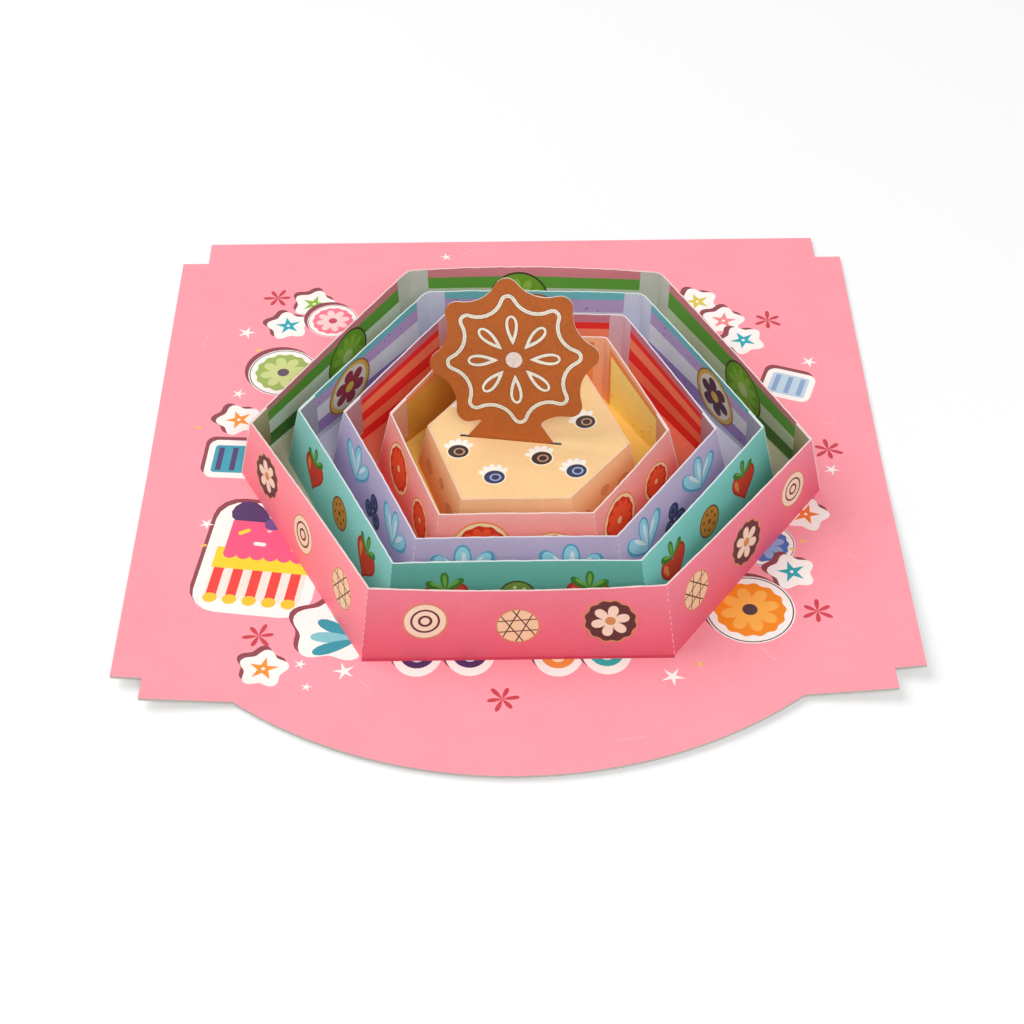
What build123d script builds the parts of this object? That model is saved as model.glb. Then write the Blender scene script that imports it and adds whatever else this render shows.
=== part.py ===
from build123d import *
from dataclasses import dataclass
from math import atan, cos, radians, sin, sqrt, tan
import os

# A pop-up card lying open: a board that folds across its middle, five nested hexagonal rings of folded
# card that stand up from it, a lid in the innermost ring, and a biscuit shape standing in the lid's slit.
# Millimetres, +Z up, +Y towards the back of the board, origin under the middle of the board.

# Board
BOARD_WIDTH = 200.0
BOARD_THICKNESS = 0.8
BODY_BACK = 94.0  # centre fold to the back edge beside the notches
BODY_FRONT = 73.0  # centre fold to the front edge beside the notches
NOTCH_WIDTH = 7.7  # at each of the four corners
BACK_LIP = 9.5  # how far the back edge stands out between its notches
FRONT_LIP = 7.0
APRON_WIDTH = 139.0  # chord of the rounded apron in front of the front lip
APRON_RISE = 23.5
CREASE_WIDTH = 1.0  # score under the centre fold
CREASE_DEPTH = 0.25

# Rings: each is a chain of six walls, folded from a front strip and a back strip
CARD = 0.4  # thickness of the folded card
HUB_WALL = 28.0  # front and back wall of the innermost ring, along their top edges
WALL_STEP = 11.15  # by which each ring's walls are longer than those of the ring inside it
HUB_REACH = 24.7  # middle of the board to the top edge of the innermost front wall
HUB_LANE = 11.1  # between the top edges of the innermost front wall and the next
FRONT_LANE = 8.4  # between the top edges of the other front walls
HUB_HEIGHT = 14.5
RING_HEIGHT = 20.0
BACK_SHIFT = 6.2  # the back walls are glued this far to the right of the front ones
BACK_TURN = -1.9  # degrees by which the back walls are turned against the front ones
SIDE_TWIST = 2.1  # by which a ring's right corner stands further forwards and its left one further back
OUTER_SAG = 5.5  # by which both side corners of the outermost ring stand further forwards
FRONT_FOOT_SPLAY = 2.6  # from the top of a front corner outwards to its foot, on a ring of full height
FRONT_FOOT_REACH = 5.0  # and forwards
SIDE_FOOT_SPLAY = 4.4
SIDE_FOOT_REACH = -1.7
BACK_FOOT_SPLAY = -0.75
BACK_FOOT_REACH = 1.75
TAB_TOP = 7.0  # glue tabs of the front strip, inside the back strip at the two side corners: along the top edge
TAB_WIDE = 11.0  # at the widest
TAB_RISE = 3.6  # of the widest place over the board
TAB_FOOT = 2.0
FOOT_FLAP = 6.0  # flap under a front or back wall, glued flat on the board
FOOT_FLAP_INSET = 6.0
FOOT_FLAP_TAPER = 2.0

# Lid of the innermost ring
LID_FLAP = 7.0  # flaps glued inside the front and back walls
LID_FLAP_INSET = 4.0
LID_FLAP_TAPER = 1.5
LID_PLAY = 0.05
SLIT_PLAY = 0.15  # before and behind the biscuit's neck
SLIT_OVERRUN = 2.0  # by which the slit is longer than the neck, at each end
SLIT_SIDE = -4.3  # middle of the slit from the middle of the lid, along it
SLIT_BACK = -2.4  # and across it, towards the back

# Biscuit
BISCUIT_THICKNESS = 0.5
BISCUIT_LEAN = 19.0  # degrees backwards from upright
BISCUIT_RADIUS = 22.4  # to the tips of the scallops
BISCUIT_RISE = 22.7  # middle of the biscuit above the lid, along its face
BISCUIT_TURN = 8.0  # degrees by which the scallops are turned
SCALLOPS = 8
SCALLOP_DEPTH = 3.8
SCALLOP_ROUND = 3.2
NECK_TOP_WIDTH = 15.9
NECK_FOOT_WIDTH = 23.2
NECK_HEIGHT = 4.8
NECK_TAB = 6.0  # folded forwards and glued under the lid
NECK_TAB_INSET = 1.0

RING_NAMES = ("hub", "coral_ring", "lavender_ring", "teal_ring", "pink_ring")

# Corners and walls of a ring, counted anticlockwise from the right-hand corner.
# Wall 0 runs from the right corner to the back right one, wall 1 is the back wall, wall 4 the front wall.
RIGHT, BACK_RIGHT, BACK_LEFT, LEFT, FRONT_LEFT, FRONT_RIGHT = range(6)
BACK_WALL, FRONT_WALL = BACK_RIGHT, FRONT_LEFT


@dataclass
class Ring:
    """Sizes of a ring, along its top edge."""

    wall: float  # length of the front wall and of the back wall
    height: float
    front_reach: float  # middle of the board to the front wall
    sag: float  # by which the side corners stand further forwards


def make_rings():
    """The five rings, from the innermost one outwards."""
    rings = [Ring(HUB_WALL, HUB_HEIGHT, HUB_REACH, 0)]
    for i in range(1, len(RING_NAMES)):
        front_reach = HUB_REACH + HUB_LANE + FRONT_LANE * (i - 1)
        rings.append(Ring(HUB_WALL + WALL_STEP * i, RING_HEIGHT, front_reach, 0))
    rings[-1].sag = OUTER_SAG
    return rings


def side_corner(start, end, wall, slip):
    """The corner to the right of start to end, one wall length from both, slipped towards end."""
    span = end - start
    outwards = Vector(span.Y, -span.X).normalized()
    return (start + end) / 2 + outwards * sqrt(wall**2 - span.length**2 / 4) + span.normalized() * slip


def top_corners(ring):
    """Six corners of a ring's top edge, on the outer faces."""
    half = Vector(ring.wall / 2, 0)
    half_turned = half.rotate(Axis.Z, BACK_TURN)
    front = Vector(0, -ring.front_reach)
    back = Vector(BACK_SHIFT, ring.wall * cos(radians(30)))
    right = side_corner(front + half, back + half_turned, ring.wall, -SIDE_TWIST - ring.sag)
    left = side_corner(back - half_turned, front - half, ring.wall, ring.sag - SIDE_TWIST)
    return [right, back + half_turned, back - half_turned, left, front - half, front + half]


def outward_normals(corners):
    """Level outward direction of each wall, from its corner to the next."""
    steps = [corners[(i + 1) % 6] - corners[i] for i in range(6)]
    return [Vector(step.Y, -step.X).normalized() for step in steps]


def foot_corners(ring):
    """Six corners of a ring's foot, on the outer faces. The taller the ring, the further they stand off."""
    share = ring.height / RING_HEIGHT
    side_foot = Vector(SIDE_FOOT_SPLAY, -SIDE_FOOT_REACH) * share
    back_foot = Vector(BACK_FOOT_SPLAY, -BACK_FOOT_REACH) * share
    front_foot = Vector(FRONT_FOOT_SPLAY, -FRONT_FOOT_REACH) * share
    right_feet = [side_foot, back_foot, front_foot]
    side_left, back_left, front_left = [Vector(-foot.X, foot.Y) for foot in right_feet]
    steps = [
        side_foot,
        back_foot.rotate(Axis.Z, BACK_TURN),
        back_left.rotate(Axis.Z, BACK_TURN),
        side_left,
        front_left,
        front_foot,
    ]
    return [top + step for top, step in zip(top_corners(ring), steps)]


def section_corners(ring, level, depths):
    """Corners at a level above the board. depths says how far inside its outer face each wall's line runs."""
    share = level / ring.height
    corners = [foot + (top - foot) * share for foot, top in zip(foot_corners(ring), top_corners(ring))]
    normals = outward_normals(corners)
    moved = []
    for i in range(6):
        before, after = normals[i - 1], normals[i]
        overlap = before.dot(after)
        in_before = (depths[i - 1] - overlap * depths[i]) / (1 - overlap**2)
        in_after = (depths[i] - overlap * depths[i - 1]) / (1 - overlap**2)
        moved.append(corners[i] - before * in_before - after * in_after)
    return moved


def tab_share(ring, corner, next_corner):
    """Share of a back strip's wall that a glue tab takes at its widest."""
    corners = top_corners(ring)
    return TAB_WIDE / (corners[next_corner] - corners[corner]).length


def standing_strip(ring, route, outer_depths, inner_depths, shares):
    """Folded walls along a route of corners, as one ruled sheet from the board up to the top edge.
    shares says how much of the next wall the sheet takes in past each end of the route."""
    before, after = route[0] - 1, (route[-1] + 1) % 6
    sections = []
    for level in (0, ring.height):
        lines = []
        for depths in (outer_depths, inner_depths):
            corners = section_corners(ring, level, depths)
            line = [corners[i] for i in route]
            if shares[0]:
                line.insert(0, line[0] + (corners[before] - line[0]) * shares[0])
            if shares[1]:
                line.append(line[-1] + (corners[after] - line[-1]) * shares[1])
            lines.append(line)
        outline = lines[0] + lines[1][::-1]
        sections.append(Pos(0, 0, BOARD_THICKNESS + level) * make_face(Polyline(outline, close=True)))
    return loft(sections, ruled=True)


def tab_trim(ring, corner, next_corner):
    """What is cut off a glue tab, so that its end slants and its foot tapers to the side corner."""
    top = section_corners(ring, ring.height, [CARD] * 6)
    along = (top[next_corner] - top[corner]).normalized()
    share = tab_share(ring, corner, next_corner)
    outline = []
    for width, level in ((TAB_FOOT, 0), (TAB_WIDE, TAB_RISE), (TAB_TOP, ring.height)):
        line = section_corners(ring, level, [CARD] * 6)
        spot = line[corner] + (line[next_corner] - line[corner]) * (share * width / TAB_WIDE)
        outline.append((along.dot(spot - top[corner]), level))
    far = outline[1][0] + TAB_WIDE
    outline = [(outline[0][0], -CARD)] + outline + [(outline[2][0], ring.height + CARD)]
    outline += [(far, ring.height + CARD), (far, -CARD)]
    plane = Plane(top[corner] + Vector(0, 0, BOARD_THICKNESS), x_dir=along, z_dir=along.cross(Vector(0, 0, 1)))
    return extrude(plane * make_face(Polyline(outline, close=True)), TAB_WIDE, dir=plane.z_dir, both=True)


def wall_plane(ring, index, foot_out):
    """Plane of the inner face of a front or back wall: origin at its first top corner, X along it, Z outwards.
    foot_out is how far its foot stands out from its top edge on a ring of full height."""
    normal = outward_normals(top_corners(ring))[index]
    lean = atan(foot_out / RING_HEIGHT)
    outwards = normal * cos(lean) + Vector(0, 0, sin(lean))
    depths = [0] * 6
    depths[index] = CARD
    top = section_corners(ring, ring.height, depths)[index]
    return Plane(top + Vector(0, 0, BOARD_THICKNESS + ring.height), x_dir=Vector(-normal.Y, normal.X), z_dir=outwards)


def foot_flap(ring, index):
    """Flap folded inwards under a wall, flat on the board."""
    corners = section_corners(ring, 0, [CARD / 2] * 6)
    start, end = corners[index], corners[index + 1]
    inwards = -outward_normals(corners)[index]
    along = (end - start).normalized()
    narrow = FOOT_FLAP_INSET + FOOT_FLAP_TAPER
    outline = [
        start + along * FOOT_FLAP_INSET,
        end - along * FOOT_FLAP_INSET,
        end - along * narrow + inwards * FOOT_FLAP,
        start + along * narrow + inwards * FOOT_FLAP,
    ]
    return extrude(Pos(0, 0, BOARD_THICKNESS) * make_face(Polyline(outline, close=True)), CARD, dir=(0, 0, 1))


def front_strip(ring, lid_room):
    """Front wall and the two beside it, with its foot flap and the glue tabs at both side corners.
    lid_room is how far the tabs stop below the top edge, to let a lid in."""
    outer_depths = [CARD, CARD, CARD, 0, 0, 0]
    inner_depths = [depth + CARD for depth in outer_depths]
    route = [LEFT, FRONT_LEFT, FRONT_RIGHT, RIGHT]
    shares = [tab_share(ring, LEFT, BACK_LEFT), tab_share(ring, RIGHT, BACK_RIGHT)]
    strip = standing_strip(ring, route, outer_depths, inner_depths, shares)
    strip -= tab_trim(ring, LEFT, BACK_LEFT)
    strip -= tab_trim(ring, RIGHT, BACK_RIGHT)
    if lid_room:
        depths = [CARD / 2] * 3 + [CARD + LID_PLAY / 2] * 3
        room = make_face(Polyline(section_corners(ring, ring.height, depths), close=True))
        room_foot = BOARD_THICKNESS + ring.height - lid_room
        strip -= extrude(Pos(0, 0, room_foot) * room, 2 * lid_room, dir=(0, 0, 1))
    return strip + foot_flap(ring, FRONT_WALL)


def back_strip(ring):
    """Back wall and the two beside it, cut off at the side corners flush with the front strip's faces."""
    outer_depths = [0] * 6
    inner_depths = [CARD, CARD, CARD, 0, 0, 0]
    route = [RIGHT, BACK_RIGHT, BACK_LEFT, LEFT]
    strip = standing_strip(ring, route, outer_depths, inner_depths, [0, 0])
    return strip + foot_flap(ring, BACK_WALL)


def make_board():
    """Board with notched corners, a rounded apron in front and a score under the centre fold."""
    lip_width = BOARD_WIDTH - 2 * NOTCH_WIDTH
    body_depth = BODY_BACK + BODY_FRONT
    lip_depth = BACK_LIP + body_depth + FRONT_LIP
    lip_front = -(BODY_FRONT + FRONT_LIP)
    body = Pos(0, (BODY_BACK - BODY_FRONT) / 2) * Rectangle(BOARD_WIDTH, body_depth)
    lips = Pos(0, lip_front + lip_depth / 2) * Rectangle(lip_width, lip_depth)
    chord_ends = [(-APRON_WIDTH / 2, lip_front), (APRON_WIDTH / 2, lip_front)]
    arc = ThreePointArc(chord_ends[0], (0, lip_front - APRON_RISE), chord_ends[1])
    apron = make_face([arc, Line(*chord_ends)])
    sheet = extrude(body + lips + apron, BOARD_THICKNESS)
    return sheet - Box(BOARD_WIDTH, CREASE_WIDTH, 2 * CREASE_DEPTH)


def slit_middle(hub):
    """Middle of the slit on the lid's top face, and the direction of the lid's centre line."""
    corners = top_corners(hub)
    along = (corners[RIGHT] - corners[LEFT]).normalized()
    back = Vector(-along.Y, along.X)
    middle = (corners[RIGHT] + corners[LEFT]) / 2 + along * SLIT_SIDE + back * SLIT_BACK
    return middle + Vector(0, 0, BOARD_THICKNESS + hub.height), along


def make_lid(hub):
    """Hexagonal lid flush with the innermost ring's top edge, its flaps glued inside front and back walls."""
    corners = section_corners(hub, hub.height, [CARD + LID_PLAY] * 6)
    top = BOARD_THICKNESS + hub.height
    lid = extrude(Pos(0, 0, top) * make_face(Polyline(corners, close=True)), -CARD, dir=(0, 0, 1))
    for index, foot_out in ((FRONT_WALL, FRONT_FOOT_REACH), (BACK_WALL, -BACK_FOOT_REACH)):
        plane = wall_plane(hub, index, foot_out)
        narrow = LID_FLAP_INSET + LID_FLAP_TAPER
        fold = min(0, CARD * foot_out / RING_HEIGHT)
        outline = [
            (LID_FLAP_INSET, fold),
            (hub.wall - LID_FLAP_INSET, fold),
            (hub.wall - narrow, -LID_FLAP),
            (narrow, -LID_FLAP),
        ]
        lid += extrude(plane * make_face(Polyline(outline, close=True)), -CARD, dir=plane.z_dir)
    middle, along = slit_middle(hub)
    tilt = radians(BISCUIT_LEAN)
    slit_width = BISCUIT_THICKNESS / cos(tilt) + CARD * tan(tilt) + 2 * SLIT_PLAY
    slit_length = NECK_FOOT_WIDTH + 2 * SLIT_OVERRUN
    slit = Pos(0, -CARD / 2 * tan(tilt), -CARD / 2) * Box(slit_length, slit_width, 2 * CARD)
    return lid - Plane(middle, x_dir=along, z_dir=(0, 0, 1)) * slit


def scalloped_disc():
    """Disc whose rounded tips are joined by hollow arcs that run smoothly into them."""
    half_pitch = 180 / SCALLOPS
    tip_centre = BISCUIT_RADIUS - SCALLOP_ROUND
    valley = BISCUIT_RADIUS - SCALLOP_DEPTH
    spare = SCALLOP_ROUND - valley
    hollow_centre = (tip_centre**2 - spare**2) / (2 * (tip_centre * cos(radians(half_pitch)) + spare))
    edges = []
    for i in range(SCALLOPS):
        angle = BISCUIT_TURN + 90 + 2 * half_pitch * i
        tip = Vector(BISCUIT_RADIUS, 0).rotate(Axis.Z, angle)
        tip_middle = Vector(tip_centre, 0).rotate(Axis.Z, angle)
        joints = []
        for side in (-1, 1):
            hollow_middle = Vector(hollow_centre, 0).rotate(Axis.Z, angle + side * half_pitch)
            joints.append(tip_middle + (hollow_middle - tip_middle).normalized() * SCALLOP_ROUND)
        bottom = Vector(valley, 0).rotate(Axis.Z, angle + half_pitch)
        edges.append(ThreePointArc(joints[0], tip, joints[1]))
        edges.append(ThreePointArc(joints[1], bottom, joints[0].rotate(Axis.Z, 2 * half_pitch)))
    return make_face(edges)


def make_biscuit(hub):
    """Scalloped biscuit leaning back on a flared neck, with a tab through the slit folded under the lid."""
    middle, along = slit_middle(hub)
    tilt = radians(BISCUIT_LEAN)
    back = Vector(-along.Y, along.X)
    face = Plane(middle, x_dir=along, z_dir=Vector(0, 0, sin(tilt)) - back * cos(tilt))
    neck_outline = [
        (-NECK_FOOT_WIDTH / 2, 0),
        (NECK_FOOT_WIDTH / 2, 0),
        (NECK_TOP_WIDTH / 2, NECK_HEIGHT),
        (NECK_TOP_WIDTH / 2, BISCUIT_RISE),
        (-NECK_TOP_WIDTH / 2, BISCUIT_RISE),
        (-NECK_TOP_WIDTH / 2, NECK_HEIGHT),
    ]
    tab_width = NECK_FOOT_WIDTH - 2 * NECK_TAB_INSET
    sink = (CARD + BISCUIT_THICKNESS - BISCUIT_THICKNESS / 2 * sin(tilt)) / cos(tilt)
    disc = Pos(0, BISCUIT_RISE) * scalloped_disc()
    above = Pos(0, 2 * BISCUIT_RADIUS) * Rectangle(4 * BISCUIT_RADIUS, 4 * BISCUIT_RADIUS)
    shape = (disc + make_face(Polyline(neck_outline, close=True))) & above
    shape += Pos(0, -sink / 2) * Rectangle(tab_width, sink)
    standing = extrude(face * shape, BISCUIT_THICKNESS / 2, dir=face.z_dir, both=True)
    neck_back = BISCUIT_THICKNESS / 2 / cos(tilt) - CARD * tan(tilt)
    under_lid = Plane(middle, x_dir=along, z_dir=(0, 0, 1))
    tab = Box(tab_width, NECK_TAB, BISCUIT_THICKNESS, align=(Align.CENTER, Align.MAX, Align.MAX))
    return standing + under_lid * (Pos(0, neck_back, -CARD) * tab)


rings = make_rings()
hub = rings[0]
parts = {"board": make_board()}
for name, ring in zip(RING_NAMES, rings):
    lid_room = CARD + LID_PLAY if ring is hub else 0
    parts[name + "_front_strip"] = front_strip(ring, lid_room)
    parts[name + "_back_strip"] = back_strip(ring)
parts["hub_lid"] = make_lid(hub)
parts["biscuit"] = make_biscuit(hub)

os.makedirs("parts", exist_ok=True)
for name, part in parts.items():
    export_step(part, f"parts/{name}.step")
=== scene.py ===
import random
from math import atan, ceil, cos, hypot, pi, radians, sin, sqrt, tan

import bpy
from mathutils import Matrix, Vector
from mathutils.geometry import delaunay_2d_cdt


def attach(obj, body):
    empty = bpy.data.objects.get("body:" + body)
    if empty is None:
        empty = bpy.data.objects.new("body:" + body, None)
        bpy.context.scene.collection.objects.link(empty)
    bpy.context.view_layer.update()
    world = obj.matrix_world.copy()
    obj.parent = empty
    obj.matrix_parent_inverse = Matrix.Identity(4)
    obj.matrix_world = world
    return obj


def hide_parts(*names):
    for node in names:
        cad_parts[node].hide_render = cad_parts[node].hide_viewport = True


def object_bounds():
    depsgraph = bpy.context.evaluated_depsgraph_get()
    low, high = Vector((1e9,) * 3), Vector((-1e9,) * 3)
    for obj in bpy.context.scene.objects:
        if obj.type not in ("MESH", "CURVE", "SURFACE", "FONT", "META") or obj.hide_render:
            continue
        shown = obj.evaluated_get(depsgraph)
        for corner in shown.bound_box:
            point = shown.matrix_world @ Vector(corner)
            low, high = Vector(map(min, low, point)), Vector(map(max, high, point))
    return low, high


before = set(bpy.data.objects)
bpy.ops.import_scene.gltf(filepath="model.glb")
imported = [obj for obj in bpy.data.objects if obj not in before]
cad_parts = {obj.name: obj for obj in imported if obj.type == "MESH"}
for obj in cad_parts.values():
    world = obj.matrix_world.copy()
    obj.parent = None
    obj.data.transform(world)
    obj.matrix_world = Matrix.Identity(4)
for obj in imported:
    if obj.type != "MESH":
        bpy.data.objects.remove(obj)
cad_low, cad_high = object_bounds()

# Board
# One sheet of thick card, printed pink on top and bare below, die cut with a notch at each corner and a
# rounded apron in front. Stars and white-edged stickers are printed on it around the rings' feet. The lanes
# between the rings are printed darker as painted shade, and a dark red line along the front wall's foot is
# a painted shadow.

METRE = 1000.0  # millimetres: every sheet is drawn flat in millimetres and set in place in metres
BOARD_THICKNESS = 0.8
BODY_BACK = 94.0  # from the centre fold back to the notches
BODY_FRONT = 73.0  # and forwards to the notches
NOTCH_WIDTH = 7.7
BACK_LIP = 9.5  # from the notches to the back edge
FRONT_LIP = 7.0  # and to the front edge
APRON_WIDTH = 139.0
APRON_RISE = 23.5
APRON_STEPS = 48
CORNER_LIFT_LEFT = 2.5  # the board's front corners have come up off the table
CORNER_LIFT_RIGHT = 3.0
APRON_LIFT = 0.9  # of the apron's middle, as a share of the corners' lift
FLAT_RADIUS = 84.0  # the rings hold the board flat this far out
CORNER_RADIUS = 122.0  # the front corners are about this far out
LIFT_FRONT = 60.0  # the lift is whole from here forwards, and nothing at the centre fold
LIFT_SIDE = 90.0  # the lift is the corners' own from here outwards


def tone(code):
    """Linear red, green and blue of a print colour."""
    shares = [int(code[i:i + 2], 16) / 255 for i in (0, 2, 4)]
    return [c / 12.92 if c <= 0.04045 else ((c + 0.055) / 1.055) ** 2.4 for c in shares]


class Ink:
    """A print colour, or a wash from one colour at the foot to another at the top of its rise. Bare card
    has no gloss."""

    def __init__(self, top, foot=None, rise=1.0, gloss=1.0):
        self.top = tone(top)
        self.foot = tone(foot or top)
        self.rise = rise
        self.gloss = gloss

    def at(self, height):
        """Red, green, blue and gloss at a height above the sheet's foot."""
        share = min(max(height / self.rise, 0.0), 1.0)
        return [low + (high - low) * share for low, high in zip(self.foot, self.top)] + [self.gloss]


class Socket:
    """One output of a node. Sums on it add Math nodes, and node() adds any other node beside it."""

    def __init__(self, output):
        self.output = output

    def node(self, kind, settings, inputs, out=0):
        """One output of a new node, after its settings and the values or links of its inputs are set."""
        tree = self.output.id_data
        made = tree.nodes.new(kind)
        for name, value in settings.items():
            setattr(made, name, value)
        for name, value in inputs.items():
            if isinstance(value, Socket):
                tree.links.new(value.output, made.inputs[name])
            else:
                made.inputs[name].default_value = value
        return Socket(made.outputs[out])

    def maths(self, operation, first, second):
        """The result of a new Math node."""
        return self.node("ShaderNodeMath", {"operation": operation}, {0: first, 1: second})

    def __add__(self, other):
        return self.maths("ADD", self, other)

    __radd__ = __add__

    def __sub__(self, other):
        return self.maths("SUBTRACT", self, other)

    def __rsub__(self, other):
        return self.maths("SUBTRACT", other, self)

    def __mul__(self, other):
        return self.maths("MULTIPLY", self, other)

    __rmul__ = __mul__

    def feeds(self, target):
        """Links this output to an input of another node."""
        self.output.id_data.links.new(self.output, target)


def noise(place, scale, detail=3.0):
    """Soft noise about 0.5 over a surface, at a scale in bumps to the metre."""
    settings = {"noise_dimensions": "3D"}
    return place.node("ShaderNodeTexNoise", settings, {"Vector": place, "Scale": scale, "Detail": detail})


def new_material(name):
    """An empty node material: its shader, and its Object coordinates as a socket."""
    material = bpy.data.materials.new(name)
    material.use_nodes = True
    tree = material.node_tree
    place = Socket(tree.nodes.new("ShaderNodeTexCoord").outputs["Object"])
    return material, tree.nodes["Principled BSDF"], place


CLOUD_SCALE = 70.0  # bumps to the metre, in the widest mottling of a card
FLOW_SCALE = 420.0  # and where the ink has run unevenly
FLOW_SHARE = 0.6  # strength of the uneven ink beside the widest mottling
BARE_ROUGHNESS = 0.80
INK_SMOOTHNESS = 0.26  # how much less rough the ink is
INK_COAT = 0.08
FIBRE_HEIGHT = 0.00006  # metres


def card_stock(name, mottle, fleck, grain):
    """Printed card: the ink of each field, mottled by the fibres, with a satin coat on the ink only. mottle
    and fleck are the strengths of the wide and the fine mottling, and grain is the fibres' scale."""
    material, shader, place = new_material(name)
    ink = place.node("ShaderNodeAttribute", {"attribute_name": "ink"}, {})
    gloss = Socket(ink.output.node.outputs["Alpha"])
    cloud = noise(place, CLOUD_SCALE)
    flow = noise(place, FLOW_SCALE)
    fibre = noise(place, grain)
    level = 1.0 + (cloud - 0.5) * mottle + (flow - 0.5) * (FLOW_SHARE * mottle) + (fibre - 0.5) * fleck
    shaded = place.node("ShaderNodeVectorMath", {"operation": "SCALE"}, {0: ink, "Scale": level})
    shaded.feeds(shader.inputs["Base Color"])
    rough = BARE_ROUGHNESS - gloss * INK_SMOOTHNESS + (flow - 0.5) * 0.16
    rough.feeds(shader.inputs["Roughness"])
    coat = gloss * INK_COAT
    coat.feeds(shader.inputs["Coat Weight"])
    shader.inputs["Coat Roughness"].default_value = 0.45
    shader.inputs["Specular IOR Level"].default_value = 0.35
    height = fibre * 0.55 + flow * 0.45
    inputs = {"Height": height, "Strength": 0.22, "Distance": FIBRE_HEIGHT}
    bumps = place.node("ShaderNodeBump", {}, inputs)
    bumps.feeds(shader.inputs["Normal"])
    return material


printed_card = card_stock("printed_card", mottle=0.15, fleck=0.15, grain=2400.0)

BARE = Ink("ebe7e1", gloss=0.0)
CUT_EDGE = Ink("eae0da", gloss=0.0)
MESH_STEP = 6.0  # spacing of a sheet's inner points, so that it can bend
MERGE_GAP = 1e-5  # points closer than this are one
SHARP_FOLD = 20.0  # degrees, from which a fold shows as an edge
EDGE_SHARE = 0.04  # share of a sheet's bake map that its cut edges take, along the top
EDGE_BAND = (0.97, 0.99)  # foot and top of the band that they take there
BAKE_MARGIN = 0.01


def lay_out(shapes, folds, low, high):
    """Points and triangles of a flat sheet that is divided along shapes and folds, and the numbers of the
    shapes that cover each triangle. A grid of points from its low to its high corner lets it bend."""
    points = []
    loops = []
    for shape in shapes:
        area = sum(a[0] * b[1] - b[0] * a[1] for a, b in zip(shape, shape[1:] + shape[:1]))
        loops.append(list(range(len(points), len(points) + len(shape))))
        points += shape if area > 0 else shape[::-1]
    creases = []
    for start, end in folds:
        creases.append((len(points), len(points) + 1))
        points += [start, end]
    counts = [max(1, round((high[axis] - low[axis]) / MESH_STEP)) for axis in (0, 1)]
    for i in range(1, counts[0]):
        for j in range(1, counts[1]):
            shares = (i / counts[0], j / counts[1])
            points.append(tuple(low[k] + (high[k] - low[k]) * shares[k] for k in (0, 1)))
    points = [Vector(point) for point in points]
    flat, _, triangles, _, _, owners = delaunay_2d_cdt(points, creases, loops, 0, MERGE_GAP)
    return flat, triangles, owners


def print_inks(triangles, owners, outline_count, hole_count, grounds, prints):
    """The triangles inside an outline and in no hole, each with the ink on its face and on its reverse. The
    shapes that own a triangle are numbered from the outlines through the holes to the prints."""
    first_print = outline_count + hole_count
    layers = [(side, ink) for side in (0, 1) for shape, ink in prints[side]]
    inked = []
    for triangle, ids in zip(triangles, owners):
        in_hole = any(outline_count <= i < first_print for i in ids)
        if in_hole or min(ids, default=outline_count) >= outline_count:
            continue
        tops = list(grounds)
        for i in sorted(ids):
            if i >= first_print:
                side, ink = layers[i - first_print]
                tops[side] = ink
        inked.append((triangle, tops))
    return inked


def cut_sheet(name, stock, outlines, grounds, prints, place, holes=(), folds=(), edge=CUT_EDGE):
    """A sheet of card, cut to one or more flat outlines that run together, printed, then set in place.
    grounds and prints give the face's inks and shapes and then the reverse's. Later shapes print over
    earlier ones. place(point, side) gives the place of a flat point on the face, side 0, or on the reverse,
    side 1."""
    shapes = [*outlines, *holes] + [shape for side in prints for shape, ink in side]
    low = [min(p[axis] for outline in outlines for p in outline) for axis in (0, 1)]
    high = [max(p[axis] for outline in outlines for p in outline) for axis in (0, 1)]
    flat, triangles, owners = lay_out(shapes, folds, low, high)
    inked = print_inks(triangles, owners, len(outlines), len(holes), grounds, prints)

    used = sorted({i for triangle, tops in inked for i in triangle})
    row = {i: k for k, i in enumerate(used)}
    corners = [place(flat[i], side) / METRE for side in (0, 1) for i in used]
    faces = []
    colours = []
    bake = []

    def add_face(indices, sides, shades, spots):
        """Adds a face with the colour and the bake spot of each of its corners."""
        faces.append([row[i] + side * len(used) for i, side in zip(indices, sides)])
        for shade in shades:
            colours.extend(shade)
        for spot in spots:
            bake.extend(spot)

    def bake_spot(i, side):
        """Where a flat point lies in the sheet's bake map, the face below and the reverse above."""
        shares = [(flat[i][axis] - low[axis]) / (high[axis] - low[axis]) for axis in (0, 1)]
        across, up = [BAKE_MARGIN + (1 - 2 * BAKE_MARGIN) * share for share in shares]
        return across, (1.0 - EDGE_SHARE) / 2 * (side + up)

    boundary = set()
    for (a, b, c), tops in inked:
        for side, order in ((0, (a, b, c)), (1, (c, b, a))):
            shades = [tops[side].at(flat[i][1]) for i in order]
            add_face(order, (side,) * 3, shades, [bake_spot(i, side) for i in order])
        boundary |= {(a, b), (b, c), (c, a)}
    rim = [pair for pair in boundary if pair[::-1] not in boundary]
    band_foot, band_top = EDGE_BAND
    for a, b in sorted(rim):
        left, right = sorted((bake_spot(a, 0)[0], bake_spot(b, 0)[0] + BAKE_MARGIN))
        band = [(left, band_foot), (left, band_top), (right, band_top), (right, band_foot)]
        add_face((a, a, b, b), (0, 1, 1, 0), [edge.at(0.0)] * 4, band)

    mesh = bpy.data.meshes.new(name)
    mesh.from_pydata(corners, [], faces)
    mesh.color_attributes.new("ink", "FLOAT_COLOR", "CORNER").data.foreach_set("color", colours)
    mesh.uv_layers.new(name="OFBake").data.foreach_set("uv", bake)
    mesh.polygons.foreach_set("use_smooth", [True] * len(faces))
    mesh.set_sharp_from_angle(angle=radians(SHARP_FOLD))
    mesh.materials.append(stock)
    mesh.update()
    sheet = bpy.data.objects.new(name, mesh)
    bpy.context.scene.collection.objects.link(sheet)
    return sheet


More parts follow.
